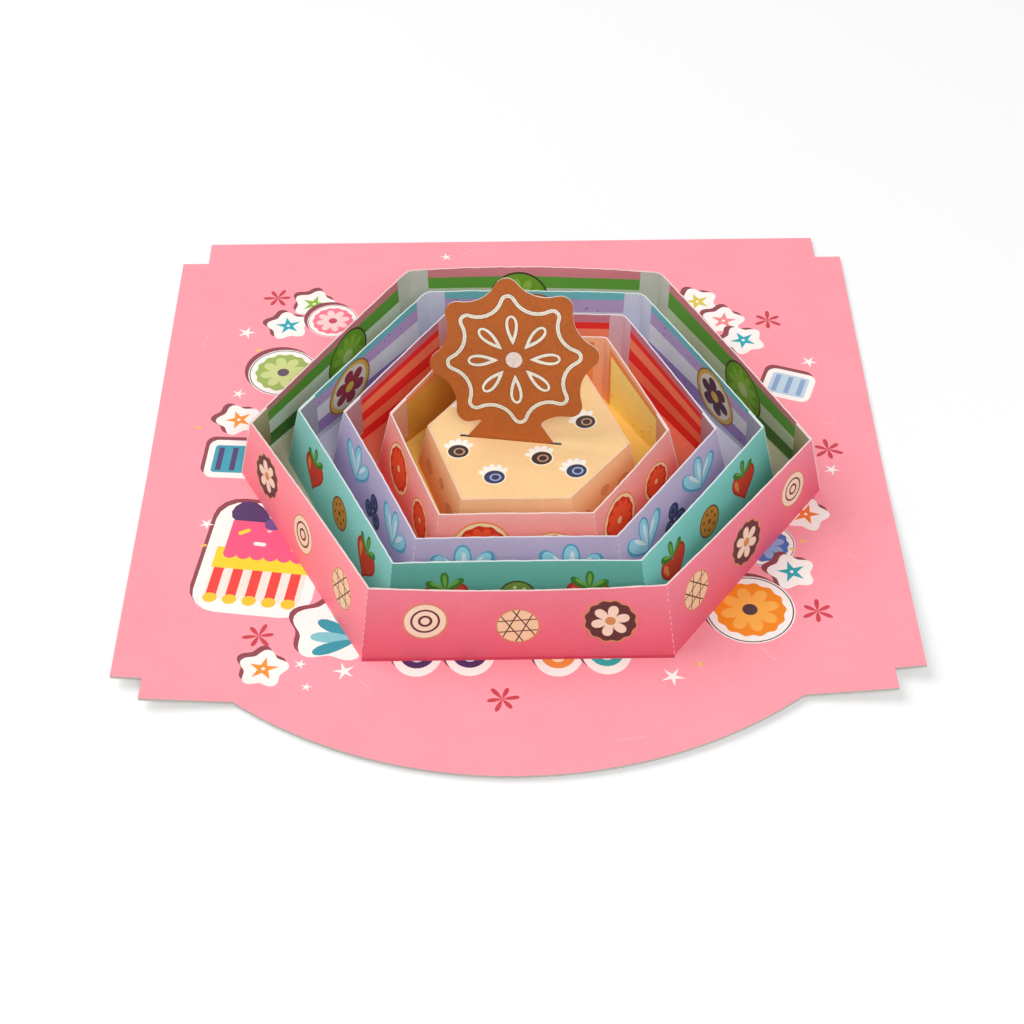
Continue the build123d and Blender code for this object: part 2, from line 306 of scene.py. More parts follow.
def disc(x, y, radius, lobes=0, lobe=0.0, turn=0.0, squash=1.0, steps=28):
    """Outline of a disc, or of a flower or scalloped round when it has lobes."""
    outline = []
    for k in range(steps):
        angle = 2 * pi * k / steps
        reach = radius * (1 + lobe * cos(lobes * (angle - radians(turn))))
        outline.append((x + reach * cos(angle), y + reach * sin(angle) * squash))
    return outline


def star(x, y, radius, tips=5, waist=0.4, turn=90.0):
    """Outline of a pointed star."""
    outline = []
    for k in range(2 * tips):
        angle = radians(turn) + pi * k / tips
        reach = radius * (waist if k % 2 else 1.0)
        outline.append((x + reach * cos(angle), y + reach * sin(angle)))
    return outline


DROP_FULLNESS = 0.65  # makes a drop as wide at its widest as its width says


def drop(x, y, length, width, turn, steps=16):
    """Outline of a drop, from its point at x, y to its round end in the direction of turn."""
    outline = []
    c, s = cos(radians(turn)), sin(radians(turn))
    for k in range(steps):
        angle = 2 * pi * k / steps
        along = length * (1 - cos(angle)) / 2
        across = width * DROP_FULLNESS * sin(angle) * sin(angle / 2)
        outline.append((x + along * c - across * s, y + along * s + across * c))
    return outline


def slab(left, low, right, high):
    """Outline of a rectangle."""
    return [(left, low), (right, low), (right, high), (left, high)]


def tile(width, height, radius, steps=5):
    """Outline of a rectangle with rounded corners about the origin."""
    outline = []
    for corner, (side_x, side_y) in enumerate(((1, 1), (-1, 1), (-1, -1), (1, -1))):
        for k in range(steps):
            angle = pi / 2 * (corner + k / (steps - 1))
            x = side_x * (width / 2 - radius) + radius * cos(angle)
            outline.append((x, side_y * (height / 2 - radius) + radius * sin(angle)))
    return outline


def print_at(motif, x, y, turn=0.0, size=1.0):
    """A motif's shapes, turned, scaled and moved to their place on a sheet."""
    c, s = size * cos(radians(turn)), size * sin(radians(turn))
    return [([(x + px * c - py * s, y + px * s + py * c) for px, py in shape], ink) for shape, ink in motif]


WHITE = Ink("fbf5ef")
STICKER_SHADE = Ink("8a4048")
SHADE_SHIFT = (-1.1, 1.3)  # printed shadow up and to the left of a sticker
TEAL, ORANGE, LEAF, PLUM = "2aa5b5", "f3912c", "8cb82e", "4a2a5e"


def sticker(rim, inside):
    """A white-edged sticker with its printed shadow."""
    shade = [(x + SHADE_SHIFT[0], y + SHADE_SHIFT[1]) for x, y in rim]
    return [(shade, STICKER_SHADE), (rim, WHITE)] + inside


def star_sticker(colour):
    """A five-petalled white sticker with a coloured star."""
    rim = disc(0, 0, 5.6, lobes=5, lobe=0.15, turn=90, steps=40)
    return sticker(rim, [(star(0, 0, 3.9, waist=0.36), Ink(colour)), (disc(0, 0, 0.5, steps=8), WHITE)])


def rosette_sticker(radius, colour, light, dark):
    """A round sticker with a scalloped rosette of petals."""
    inside = [
        (disc(0, 0, radius * 0.97, steps=40), Ink(dark)),
        (disc(0, 0, radius * 0.94, steps=40), WHITE),
        (disc(0, 0, radius * 0.78, lobes=14, lobe=0.035, steps=84), Ink(colour)),
    ]
    for k in range(8):
        inside.append((drop(0, 0, radius * 0.66, radius * 0.30, 45 * k + 12), Ink(light)))
    inside.append((disc(0, 0, radius * 0.17, steps=14), Ink(dark)))
    return sticker(disc(0, 0, radius, steps=40), inside)


def striped_sticker(width, height, colour, stripe, count):
    """A round-cornered sticker with upright stripes."""
    inside = [(tile(width * 0.76, height * 0.72, 1.0), Ink(colour))]
    pitch = width * 0.76 / count
    for k in range(count):
        left = -width * 0.38 + pitch * (k + 0.3)
        inside.append((slab(left, -height * 0.30, left + pitch * 0.4, height * 0.30), Ink(stripe)))
    return sticker(tile(width, height, 2.6), inside)


def parcel_sticker():
    """A party parcel: a pink top with dabs on it, a scalloped yellow band, a striped skirt and a bow."""
    rim = tile(31, 40, 7)
    inside = [(drop(0, 12, 13, 8.5, turn), Ink(PLUM)) for turn in (152, 28)]
    inside.append((slab(-12.5, -15, 12.5, -3), Ink("f6e6d8")))
    for k in range(5):
        left = -12.0 + 5.1 * k
        inside.append((slab(left, -14.6, left + 2.7, -4), Ink("ec4038")))
        inside.append((disc(left + 1.35, -15.2, 1.9, squash=0.9, steps=14), Ink("f4c32c")))
    inside.append((slab(-12.8, -4.5, 12.8, 3), Ink("f2d327")))
    inside.append((slab(-10.8, 1, 10.8, 13), Ink("f2557e")))
    for k in range(6):
        inside.append((disc(-9 + 3.6 * k, 1.0, 1.9, steps=14), Ink("f2557e")))
    dabs = ((-7, 9, "f7d52f"), (-2, 5, "fbf0e6"), (4, 10, "ee3f37"), (7, 5, "f7d52f"), (0, 11, "fbb6c4"))
    for k, (x, y, colour) in enumerate(dabs):
        inside += print_at([(tile(3.4, 1.3, 0.6), Ink(colour))], x, y, turn=35 - 38 * k)
    inside.append((disc(0, 12.6, 2.3, steps=14), Ink("6a4484")))
    return sticker(rim, inside)


def fan_sticker(colour, light):
    """A cloud-shaped sticker with a fan of five drops in two colours."""
    inside = []
    for k in range(5):
        inside.append((drop(6.0, -4.0, 12.5, 3.6, 92 + 26 * k), Ink((colour, light)[k % 2])))
    return sticker(disc(0, 0, 10.2, lobes=5, lobe=0.13, turn=150, steps=50), inside)


def pennant_sticker(colour, spot):
    """A round hanging pennant with a spot on it."""
    inside = [
        (disc(0, 0.4, 4.6, squash=1.15), Ink(colour)),
        (disc(0, -1.2, 1.7, steps=16), Ink(spot)),
    ]
    return sticker(disc(0, 0, 6.3, squash=1.2), inside)


def asterisk(colour, arms=6):
    """A six-armed hand-drawn asterisk."""
    arm = Ink(colour)
    return [(drop(0, 0, 4.3 - 0.5 * (k % 2), 1.25, 360 * k / arms + 12), arm) for k in range(arms)]


def scratch(seed):
    """A faint pale hairline mark, a few short strokes long."""
    draw = random.Random(seed)
    x, y = 0.0, 0.0
    marks = []
    for _ in range(3):
        turn = radians(draw.uniform(40, 110))
        step = draw.uniform(1.2, 2.6)
        nx, ny = x + step * cos(turn), y + step * sin(turn)
        marks.append(([(x, y), (nx, ny), (nx + 0.16, ny), (x + 0.16, y)], Ink("ffbfc6")))
        x, y = nx, ny
    return marks


board_print = []
for x, y, turn, motif in (
    (-66, 64, 10, star_sticker(TEAL)),
    (-59, 74, -15, star_sticker(LEAF)),
    (-53, 66, 0, rosette_sticker(7.5, "f4788c", "fbd0cf", "c2455c")),
    (-66, 43, 0, rosette_sticker(10, "9cb35a", "c9d489", "5c4a58")),
    (-77, 23, 20, star_sticker(ORANGE)),
    (-77, 7, -4, striped_sticker(15, 15, "3f9db0", "4a3a6a", 3)),
    (-66, -31, -8, parcel_sticker()),
    (-46, -56, 5, fan_sticker("2b93a3", "7cc3cc")),
    (-63, -69, -8, star_sticker(ORANGE)),
    (-25, -64.5, -4, pennant_sticker(PLUM, "c8d6ea")),
    (-12, -64.5, 3, pennant_sticker(PLUM, "c8d6ea")),
    (10, -65.0, -3, pennant_sticker("ef8f3c", "fbe3b8")),
    (22, -64.5, 4, pennant_sticker("2fa9a6", "d8efe8")),
    (59, -51, 0, rosette_sticker(11.5, "f68a12", "fcb04a", "4a3038")),
    (65, -28, 0, rosette_sticker(8, "4a6fb2", "8fa9d6", "2c3a66")),
    (71, -38, 12, star_sticker("28a0ac")),
    (77, -17, -20, star_sticker("f07a2a")),
    (78, 35, -20, striped_sticker(14, 12, "bcd3e0", "8aa5c8", 3)),
    (55, 73, 15, star_sticker("d9c64a")),
    (62, 64, -10, star_sticker("f08a8a")),
    (67, 55, 25, star_sticker(TEAL)),
):
    board_print += print_at(motif, x, y, turn)
ASTERISKS = ((-70, 77), (75, 64), (86, 8), (76, -52), (-65, -58), (-4, -79.5))
SMALL_STARS = (
    (-78, 61, 2.9), (-78, 34, 2.2), (-82, -18, 2.2), (-43, -70, 3.0), (38, -73, 3.2),
    (85, 45, 2.6), (86, 0, 2.3), (-52, -75, 1.6), (-54, -67.5, 1.8), (-20, 96, 2.0),
)
DASHES = ((-74, 53), (-82, -26), (45, -69), (75, -27), (72, -30), (-88, 20))
SCRATCHES = ((-90, 54), (-82, -50), (64, -68), (89, -36), (-36, -76), (30, -92), (90, 20), (-12, 99))
for x, y in ASTERISKS:  # the small prints are turned by their places, so that no two stand alike
    board_print += print_at(asterisk("c83c48"), x, y, turn=x)
for x, y, size in SMALL_STARS:
    board_print += print_at([(star(0, 0, size, waist=0.28), WHITE)], x, y, turn=3 * x)
for x, y in DASHES:
    board_print += print_at([(tile(1.7, 0.8, 0.3), Ink("f2c552"))], x, y, turn=2 * x)
for k, (x, y) in enumerate(SCRATCHES):
    board_print += print_at(scratch(k), x, y, turn=20 * k)

CARD = 0.4  # thickness of the rings' card: their feet mark out the lanes of painted shade
HUB_WALL = 28.0  # length of the hub's front wall
WALL_STEP = 11.15  # what each ring adds to the length of its front wall
HUB_REACH = 24.7  # from the centre fold forwards to the hub's front wall
HUB_LANE = 11.1  # from there to the next front wall
FRONT_LANE = 8.4  # and between the front walls further out
HUB_HEIGHT = 14.5
RING_HEIGHT = 20.0
BACK_SHIFT = 6.2  # the back walls stand this far to the right of the front ones
BACK_TURN = -1.9  # and are turned by these degrees
SIDE_TWIST = 2.1  # slip of the side corners, forwards on the right and backwards on the left
OUTER_SAG = 5.5  # further slip of both side corners of the outermost ring, forwards
OUTER_COUNT = 4
BACK_WALL, FRONT_WALL = 1, 4
FRONT_FOOT_SPLAY = 2.6  # from the top of a front corner outwards to its foot, on a ring of full height
FRONT_FOOT_REACH = 5.0  # and forwards
SIDE_FOOT_SPLAY = 4.4
SIDE_FOOT_REACH = -1.7
BACK_FOOT_SPLAY = -0.75
BACK_FOOT_REACH = 1.75


def side_corner(start, end, wall, slip):
    """The corner to the right of start to end, one wall length from both, slipped towards end."""
    span = end - start
    outwards = Vector((span.y, -span.x)).normalized()
    bulge = sqrt(wall**2 - span.length_squared / 4)
    return (start + end) / 2 + outwards * bulge + span.normalized() * slip


def outward_normals(corners):
    """Level outward direction of each wall, from its corner to the next."""
    steps = [corners[(i + 1) % 6] - corners[i] for i in range(6)]
    return [Vector((step.y, -step.x)).normalized() for step in steps]


class Ring:
    """Sizes of a ring along its top edge. Rings are counted from the hub outwards, and corners and walls
    anticlockwise from the right-hand corner, so that wall 1 is the back wall and wall 4 the front wall."""

    def __init__(self, count):
        self.wall = HUB_WALL + WALL_STEP * count
        self.height = RING_HEIGHT if count else HUB_HEIGHT
        share = self.height / RING_HEIGHT
        self.slant = hypot(self.height, FRONT_FOOT_REACH * share)
        reach = HUB_REACH + (HUB_LANE + FRONT_LANE * (count - 1) if count else 0.0)
        sag = OUTER_SAG if count == OUTER_COUNT else 0.0
        turned = Matrix.Rotation(radians(BACK_TURN), 2)
        half = Vector((self.wall / 2, 0))
        front = Vector((0, -reach))
        back = Vector((BACK_SHIFT, self.wall * cos(radians(30))))
        back_right, back_left = back + turned @ half, back - turned @ half
        right = side_corner(front + half, back_right, self.wall, -SIDE_TWIST - sag)
        left = side_corner(back_left, front - half, self.wall, sag - SIDE_TWIST)
        self.corners = [right, back_right, back_left, left, front - half, front + half]
        self.steps = [
            Vector((SIDE_FOOT_SPLAY, -SIDE_FOOT_REACH)) * share,
            turned @ Vector((BACK_FOOT_SPLAY, -BACK_FOOT_REACH)) * share,
            turned @ Vector((-BACK_FOOT_SPLAY, -BACK_FOOT_REACH)) * share,
            Vector((-SIDE_FOOT_SPLAY, -SIDE_FOOT_REACH)) * share,
            Vector((-FRONT_FOOT_SPLAY, -FRONT_FOOT_REACH)) * share,
            Vector((FRONT_FOOT_SPLAY, -FRONT_FOOT_REACH)) * share,
        ]
        self.lengths = [(self.corners[(i + 1) % 6] - self.corners[i]).length for i in range(6)]
        self.normals = outward_normals(self.corners)

    def section(self, below_top, depths):
        """Corners at a level below the top edge. depths says how far inside its face each wall's line
        runs."""
        share = below_top / self.height
        corners = [top + step * share for top, step in zip(self.corners, self.steps)]
        normals = outward_normals(corners)
        moved = []
        for i in range(6):
            before, after = normals[i - 1], normals[i]
            overlap = before.dot(after)
            in_before = (depths[i - 1] - overlap * depths[i]) / (1 - overlap**2)
            in_after = (depths[i] - overlap * depths[i - 1]) / (1 - overlap**2)
            moved.append(corners[i] - before * in_before - after * in_after)
        return moved


outer_ring = Ring(OUTER_COUNT)
LANE_SHADES = ("c9c2ba", "f4c866", "e2785c", "cbc8d8", "b8b094")  # painted shade: the bare floor inside each ring, printed darker and tinted like its walls, from the hub outwards
for count in reversed(range(OUTER_COUNT + 1)):
    around = Ring(count)
    lane_floor = [tuple(corner) for corner in around.section(around.height, [CARD / 2] * 6)]
    # the lane's floor, printed darker than bare card as painted shade
    board_print.append((lane_floor, Ink(LANE_SHADES[count], gloss=0.0)))
FOOT_SHADOW_WIDTH = 0.9  # width of the painted shadow, a dark red line along the foot of the front wall
# A painted shadow: a dark red line printed on the board along the front wall's foot, over the stickers.
front_foot = outer_ring.section(outer_ring.height, [0.0] * 6)[FRONT_WALL:]
painted_foot_shadow = [tuple(corner) for corner in front_foot]
painted_foot_shadow += [(corner.x, corner.y - FOOT_SHADOW_WIDTH) for corner in reversed(front_foot)]
board_print.append((painted_foot_shadow, Ink("cc4158")))
board_half = (cad_high.x - cad_low.x) * METRE / 2


def board_outline():
    """Flat outline of the board, from the left end of the apron round by the right."""
    lip_half = board_half - NOTCH_WIDTH
    lip_front = -(BODY_FRONT + FRONT_LIP)
    chord = APRON_WIDTH / 2
    radius = (chord**2 + APRON_RISE**2) / (2 * APRON_RISE)
    middle = lip_front - APRON_RISE + radius
    outline = []
    for k in range(APRON_STEPS + 1):
        x = -chord + 2 * chord * k / APRON_STEPS
        outline.append((x, middle - sqrt(radius**2 - x**2)))
    outline += [
        (lip_half, lip_front),
        (lip_half, -BODY_FRONT),
        (board_half, -BODY_FRONT),
        (board_half, BODY_BACK),
        (lip_half, BODY_BACK),
        (lip_half, BODY_BACK + BACK_LIP),
    ]
    back = [(-x, y) for x, y in outline[-6:]]
    return outline + back[::-1]


def on_table(point, side):
    """Place of a flat point of the board, with the front corners lifted."""
    x, y = point
    out = max(0.0, hypot(x, y) - FLAT_RADIUS) / (CORNER_RADIUS - FLAT_RADIUS)
    to_front = min(max(-y / LIFT_FRONT, 0.0), 1.0)
    to_side = min(abs(x) / LIFT_SIDE, 1.0)
    most = CORNER_LIFT_RIGHT if x > 0 else CORNER_LIFT_LEFT
    lift = most * out**2 * to_front * (APRON_LIFT + (1.0 - APRON_LIFT) * to_side)
    return Vector((x, y, lift + (0.0 if side else BOARD_THICKNESS)))


board = cut_sheet(
    "board_sheet", printed_card, [board_outline()], (Ink("fd9ca8"), BARE), (board_print, []), on_table,
    # painted shade: the board's cut edge is printed a darker grey-brown than the bare card
    folds=[((-board_half, 0.0), (board_half, 0.0))], edge=Ink("c3b4ae", gloss=0.0),
)
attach(board, "root")
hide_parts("board")

# Rings
# Each ring is glued from two strips of thin card: a front strip of three walls, with a tab at each end that
# is glued inside the back strip of three walls. A flap under the front and the back wall is glued to the
# board. The folds are scored, and pale torn fibres bridge the scores.

TAB_TOP = 7.0  # width of a tab at its top, its widest place and its foot
TAB_WIDE = 11.0
TAB_RISE = 3.6  # of a tab's widest place over the board
TAB_FOOT = 2.0
FOOT_FLAP = 6.0
FOOT_FLAP_INSET = 6.0
FOOT_FLAP_TAPER = 2.0
LID_PLAY = 0.05
BLEED = 0.5  # a print that fills a sheet runs past its edges by this much
CUT_WOBBLE = 0.10  # unevenness of a cut edge
WOBBLE_STEP = 1.6
WORN_DEPTH = 0.12  # how far down a top edge the cut has frayed the print
WORN_STEPS = 90
CORNER_SHARE = 0.025  # a back corner rounds off over this share of the wall's length, each side of its fold
ROUNDING_STEPS = (-1.0, -0.5, 0.0, 0.5, 1.0)
FRONT_FIRST, BACK_FIRST = 3, 0  # first wall of a front strip and of a back strip


def fold_marks(ring, first):
    """Where a strip's three walls start and end along it, laid flat."""
    marks = [0.0]
    for k in range(3):
        marks.append(marks[-1] + ring.lengths[(first + k) % 6])
    return marks


def folded_place(ring, first, bows):
    """Where a strip's flat points stand when it is folded round its corners. Flat points run along the
    strip from the start of its first wall, and up it from its foot. bows are the walls' bulges on top."""
    marks = fold_marks(ring, first)
    feet, tops = [], []
    for depth in (0.0, CARD):
        depths = [depth] * 3 + [0.0] * 3
        if first == FRONT_FIRST:
            depths = [CARD + depth] * 3 + [depth] * 3
        feet.append(ring.section(ring.height, depths))
        tops.append(ring.section(0.0, depths))

    def standing(point, side):
        """Place of a flat point with every fold sharp."""
        number = sum(point[0] >= mark for mark in marks) - 1
        i = (first + number) % 6
        after = (i + 1) % 6
        start = marks[number] if number >= 0 else -ring.lengths[i]
        along = (point[0] - start) / ring.lengths[i]
        foot = feet[side][i].lerp(feet[side][after], along)
        if point[1] < 0:
            inward = -point[1] * (1 if side == 0 else 1 - CARD / FOOT_FLAP)
            spot = foot - ring.normals[i] * inward
            rise = CARD * min(1.0, -point[1] / CARD) if side else 0.0
            return Vector((spot.x, spot.y, BOARD_THICKNESS + rise))
        up = point[1] / ring.slant
        top = tops[side][i].lerp(tops[side][after], along)
        spot = foot.lerp(top, up) + ring.normals[i] * (bows[i] * 4 * along * (1 - along) * up**2)
        return Vector((spot.x, spot.y, BOARD_THICKNESS + up * ring.height))

    def place(point, side):
        """Place of a flat point, with a back strip's folds rounded off towards the top."""
        spot = standing(point, side)
        rounding = CORNER_SHARE * ring.wall
        for mark in marks[1:3] if first == BACK_FIRST else ():
            share = ((point[0] - mark) / rounding + 1) / 2
            if point[1] > 0 and 0 < share < 1:
                before = standing((mark - rounding, point[1]), side)
                fold = standing((mark, point[1]), side)
                after = standing((mark + rounding, point[1]), side)
                curve = before * (1 - share) ** 2 + fold * (2 * share * (1 - share)) + after * share**2
                spot = spot.lerp(curve, point[1] / ring.slant)
        return spot

    return place


def wobbly_edge(start, end, level, draw):
    """Points along a cut edge, uneven by a tenth of a millimetre at most, without its ends."""
    count = max(2, ceil(abs(end - start) / WOBBLE_STEP))
    shares = [k / count for k in range(1, count)]
    return [(start + (end - start) * share, level + draw.uniform(-1, 1) * CUT_WOBBLE) for share in shares]


def strip_outline(marks, slant, tabs, tab_drop, draw):
    """Flat outline of a strip of three walls, with its foot flap and, if it has them, its glue tabs."""
    narrow = FOOT_FLAP_INSET + FOOT_FLAP_TAPER
    end = marks[3]
    outline = [
        (0.0, 0.0),
        (marks[1], 0.0),
        (marks[1] + FOOT_FLAP_INSET, 0.0),
        (marks[1] + narrow, -FOOT_FLAP),
        (marks[2] - narrow, -FOOT_FLAP),
        (marks[2] - FOOT_FLAP_INSET, 0.0),
        (marks[2], 0.0),
        (end, 0.0),
    ]
    if tabs:
        tab = [(TAB_FOOT, 0.0), (TAB_WIDE, TAB_RISE), (TAB_TOP, slant - tab_drop)]
        tab += [(0.0, slant - tab_drop)] if tab_drop else []
        outline += [(end + x, y) for x, y in tab]
    for k in (3, 2, 1):
        outline.append((marks[k], slant))
        outline += wobbly_edge(marks[k], marks[k - 1], slant, draw)
    outline.append((0.0, slant))
    if tabs:
        outline += [(-x, y) for x, y in reversed(tab)]
    return outline


def worn_edge(length, slant, pale, draw):
    """A pale hairline along a strip's top edge, where the cut has frayed the print."""
    low = []
    for k in range(WORN_STEPS + 1):
        low.append((length * k / WORN_STEPS, slant - draw.uniform(0.0, WORN_DEPTH)))
    return [(low + [(length, slant + BLEED), (0.0, slant + BLEED)], pale)]


SCORE_SPACING = 1.7
SCORE_LENGTH = 1.3
SCORE_WIDTH = 0.28
SCORE_HEIGHT = 0.14
SCORE_SHARE = 0.85  # share of the bridges that show
SCORE_STRETCH = (0.5, 1.2)  # the shortest and the longest, beside SCORE_LENGTH
SCORE_MARGIN = 0.04  # share of a fold that is left out at both ends
SCORE_POINTS = 9  # along a fold, so that the bridges follow it


def score_tree():
    """Nodes that lay a short bridge of torn fibres at every step of a scored fold, and leave some out."""
    tree = bpy.data.node_groups.new("score_bridges", "GeometryNodeTree")
    tree.interface.new_socket("Geometry", in_out="INPUT", socket_type="NodeSocketGeometry")
    for size in ("Spacing", "Length", "Width", "Height"):
        tree.interface.new_socket(size, in_out="INPUT", socket_type="NodeSocketFloat")
    tree.interface.new_socket("Pale", in_out="INPUT", socket_type="NodeSocketColor")
    tree.interface.new_socket("Seed", in_out="INPUT", socket_type="NodeSocketInt")
    tree.interface.new_socket("Geometry", in_out="OUTPUT", socket_type="NodeSocketGeometry")
    outputs = tree.nodes.new("NodeGroupInput").outputs
    given = {output.name: Socket(output) for output in outputs if output.name}
    guide = given["Geometry"]
    line = guide.node("GeometryNodeMeshToCurve", {}, {"Mesh": guide})
    spacing = {"Curve": line, "Length": given["Spacing"]}
    spots = guide.node("GeometryNodeCurveToPoints", {"mode": "LENGTH"}, spacing)
    turn = Socket(spots.output.node.outputs["Rotation"])
    bridge = guide.node("GeometryNodeMeshIcoSphere", {}, {"Radius": 0.5, "Subdivisions": 1})
    flat = Socket(bridge.output.node.outputs["UV Map"])
    for name, kind, value in (("OFBake", "FLOAT2", flat), ("ink", "FLOAT_COLOR", given["Pale"])):
        settings = {"data_type": kind, "domain": "CORNER"}
        inputs = {"Geometry": bridge, "Name": name, "Value": value}
        bridge = guide.node("GeometryNodeStoreNamedAttribute", settings, inputs)
    chance = {"Probability": SCORE_SHARE, "Seed": given["Seed"]}
    kept = guide.node("FunctionNodeRandomValue", {"data_type": "BOOLEAN"}, chance, out=3)
    least, most = SCORE_STRETCH
    reach = {2: least, 3: most, "Seed": given["Seed"]}
    stretch = guide.node("FunctionNodeRandomValue", {"data_type": "FLOAT"}, reach, out=1)
    sizes = {"X": given["Width"], "Y": given["Height"], "Z": given["Length"] * stretch}
    scale = guide.node("ShaderNodeCombineXYZ", {}, sizes)
    inputs = {"Points": spots, "Selection": kept, "Instance": bridge, "Rotation": turn, "Scale": scale}
    bridges = guide.node("GeometryNodeInstanceOnPoints", {}, inputs)
    solid = guide.node("GeometryNodeRealizeInstances", {}, {"Geometry": bridges})
    dressed = guide.node("GeometryNodeSetMaterial", {}, {"Geometry": solid, "Material": printed_card})
    dressed.feeds(tree.nodes.new("NodeGroupOutput").inputs["Geometry"])
    return tree


score_bridges = score_tree()


def make_scores(name, lines, pale, seed):
    """The pale bridges along a ring's scored folds, as one mesh."""
    points = [point / METRE for line in lines for point in line]
    count = len(lines[0])
    edges = [(row * count + k, row * count + k + 1) for row in range(len(lines)) for k in range(count - 1)]
    guide = bpy.data.meshes.new(name)
    guide.from_pydata(points, edges, [])
    scores = bpy.data.objects.new(name, guide)
    bpy.context.scene.collection.objects.link(scores)
    modifier = scores.modifiers.new("bridges", "NODES")
    modifier.node_group = score_bridges
    sizes = {
        "Spacing": SCORE_SPACING / METRE, "Length": SCORE_LENGTH / METRE, "Width": SCORE_WIDTH / METRE,
        "Height": SCORE_HEIGHT / METRE, "Pale": pale.at(0.0)[:3] + [0.0], "Seed": seed,
    }
    for item in score_bridges.interface.items_tree:
        if item.in_out == "INPUT" and item.name in sizes:
            modifier[item.identifier] = sizes[item.name]
    bpy.context.view_layer.update()
    result = scores.evaluated_get(bpy.context.evaluated_depsgraph_get())
    mesh = bpy.data.meshes.new_from_object(result)
    scores.modifiers.remove(modifier)
    scores.data = mesh
    mesh.name = name
    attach(scores, "root")


def make_ring(name, ring, ground, outside, inside, inner_ground, tab_ink, bows, seed, pale, edge,
              tab_drop=0.0):
    """Both strips of a ring. outside(centre, k) prints a wall's face about its centre, and inside(start,
    length, k) the inner face of a back wall from its start. k counts the walls as everywhere else. pale is
    the ink of the bridges along the folds, and tab_drop is how far the tabs stay below the top edge."""
    draw = random.Random(seed)
    slant = ring.slant
    scored = []
    for part, first in (("front", FRONT_FIRST), ("back", BACK_FIRST)):
        marks = fold_marks(ring, first)
        tabs = first == FRONT_FIRST
        face = []
        reverse = []
        for k in range(3):
            face += outside((marks[k] + marks[k + 1]) / 2, first + k)
            if not tabs and inside:
                reverse += inside(marks[k], marks[k + 1] - marks[k], first + k)
        if tabs:
            tab_end = TAB_WIDE + 2 * BLEED
            for start, end in ((-tab_end, 0.0), (marks[3], marks[3] + tab_end)):
                reverse.append((slab(start, -BLEED, end, slant + BLEED), tab_ink))
        face += worn_edge(marks[3], slant, edge, draw)
        folds = [((mark, 0.0), (mark, slant)) for mark in marks]
        folds.append(((marks[1] + FOOT_FLAP_INSET, 0.0), (marks[2] - FOOT_FLAP_INSET, 0.0)))
        if not tabs:
            for mark in marks[1:3]:
                for step in ROUNDING_STEPS:
                    x = mark + step * CORNER_SHARE * ring.wall
                    folds.append(((x, 0.0), (x, slant)))
        outline = strip_outline(marks, slant, tabs, tab_drop, draw)
        place = folded_place(ring, first, bows)
        grounds = (ground, BARE if tabs else inner_ground)
        piece = cut_sheet(
            f"{name}_{part}_sheet", printed_card, [outline], grounds, (face, reverse), place,
            folds=folds, edge=edge,
        )
        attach(piece, "root")
        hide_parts(f"{name}_{part}_strip")
        scored_share = (1 - 2 * SCORE_MARGIN) / (SCORE_POINTS - 1)
        levels = [slant * (SCORE_MARGIN + scored_share * step) for step in range(SCORE_POINTS)]
        for mark in marks[1:3]:
            scored.append([place((mark, level), 0) for level in levels])
    make_scores(f"{name}_scores", scored, pale, seed)


def bands(start, length, slant, inset, colours):
    """Level stripes on a wall's inner face, from its top edge down: (depth, ink) for each."""
    shapes = []
    top = slant + BLEED
    level = slant
    for depth, ink in colours:
        level -= depth
        shapes.append((slab(start + inset, level, start + length - inset, top), ink))
        top = level
    return shapes


def painted_light_wash(ring, centre, k, ink):
    """Painted light and shade over one wall's outer face: a wash that makes it lighter or darker than the
    rest of the ring.
    """
    half = ring.lengths[k % 6] / 2
    return [(slab(centre - half, -BLEED, centre + half, ring.slant + BLEED), ink)]


SPECK_MARGIN = 0.12  # share of a wall's length that stays free of specks at both ends


def specks(start, length, low, high, count, radius, ink, seed):
    """Small dark specks scattered over a stripe."""
    draw = random.Random(seed)
    shapes = []
    for _ in range(count):
        x = start + draw.uniform(SPECK_MARGIN, 1 - SPECK_MARGIN) * length
        size = radius * draw.uniform(0.6, 1.3)
        shapes.append((disc(x, draw.uniform(low, high), size, squash=0.8, steps=7), ink))
    return shapes


# Hub
# The innermost ring, lower than the others, of peach card that is redder at its foot, with three faint
# ovals printed on each wall. Its lid is let in flush with its top edge, so its tabs stop below the lid.

hub = Ring(0)
HUB_LINE = Ink("d98258")
HUB_FILL = Ink("eb9b69", "dc7a4e", hub.slant)


def hub_outside(centre, k):
    """Three faint ovals on a wall."""
    shapes = []
    for x, y, radius in ((-8.5, 5.5, 2.6), (0.5, 8.0, 1.8), (8.0, 5.0, 2.9)):
        shapes.append((disc(centre + x, y, radius, squash=0.75), HUB_LINE))
        shapes.append((disc(centre + x, y, radius * 0.8, squash=0.72), HUB_FILL))
    return shapes


make_ring(
    "hub", hub, Ink("ffcc9e", "f67c46", hub.slant), hub_outside, None,
    inner_ground=BARE, tab_ink=BARE, bows=[0.0] * 6, seed=1,
    pale=Ink("ffdcbd"), edge=Ink("f7cfae", gloss=0.0), tab_drop=(CARD + LID_PLAY) * hub.slant / HUB_HEIGHT,
)

# Coral ring
# Pink card washed redder towards its foot, with red rosettes in a cream rim on its outer faces. Inside, the
# back walls carry a speckled yellow panel in an orange margin on a peach ground.

coral_ring = Ring(1)
SLANT = coral_ring.slant  # of every ring but the hub


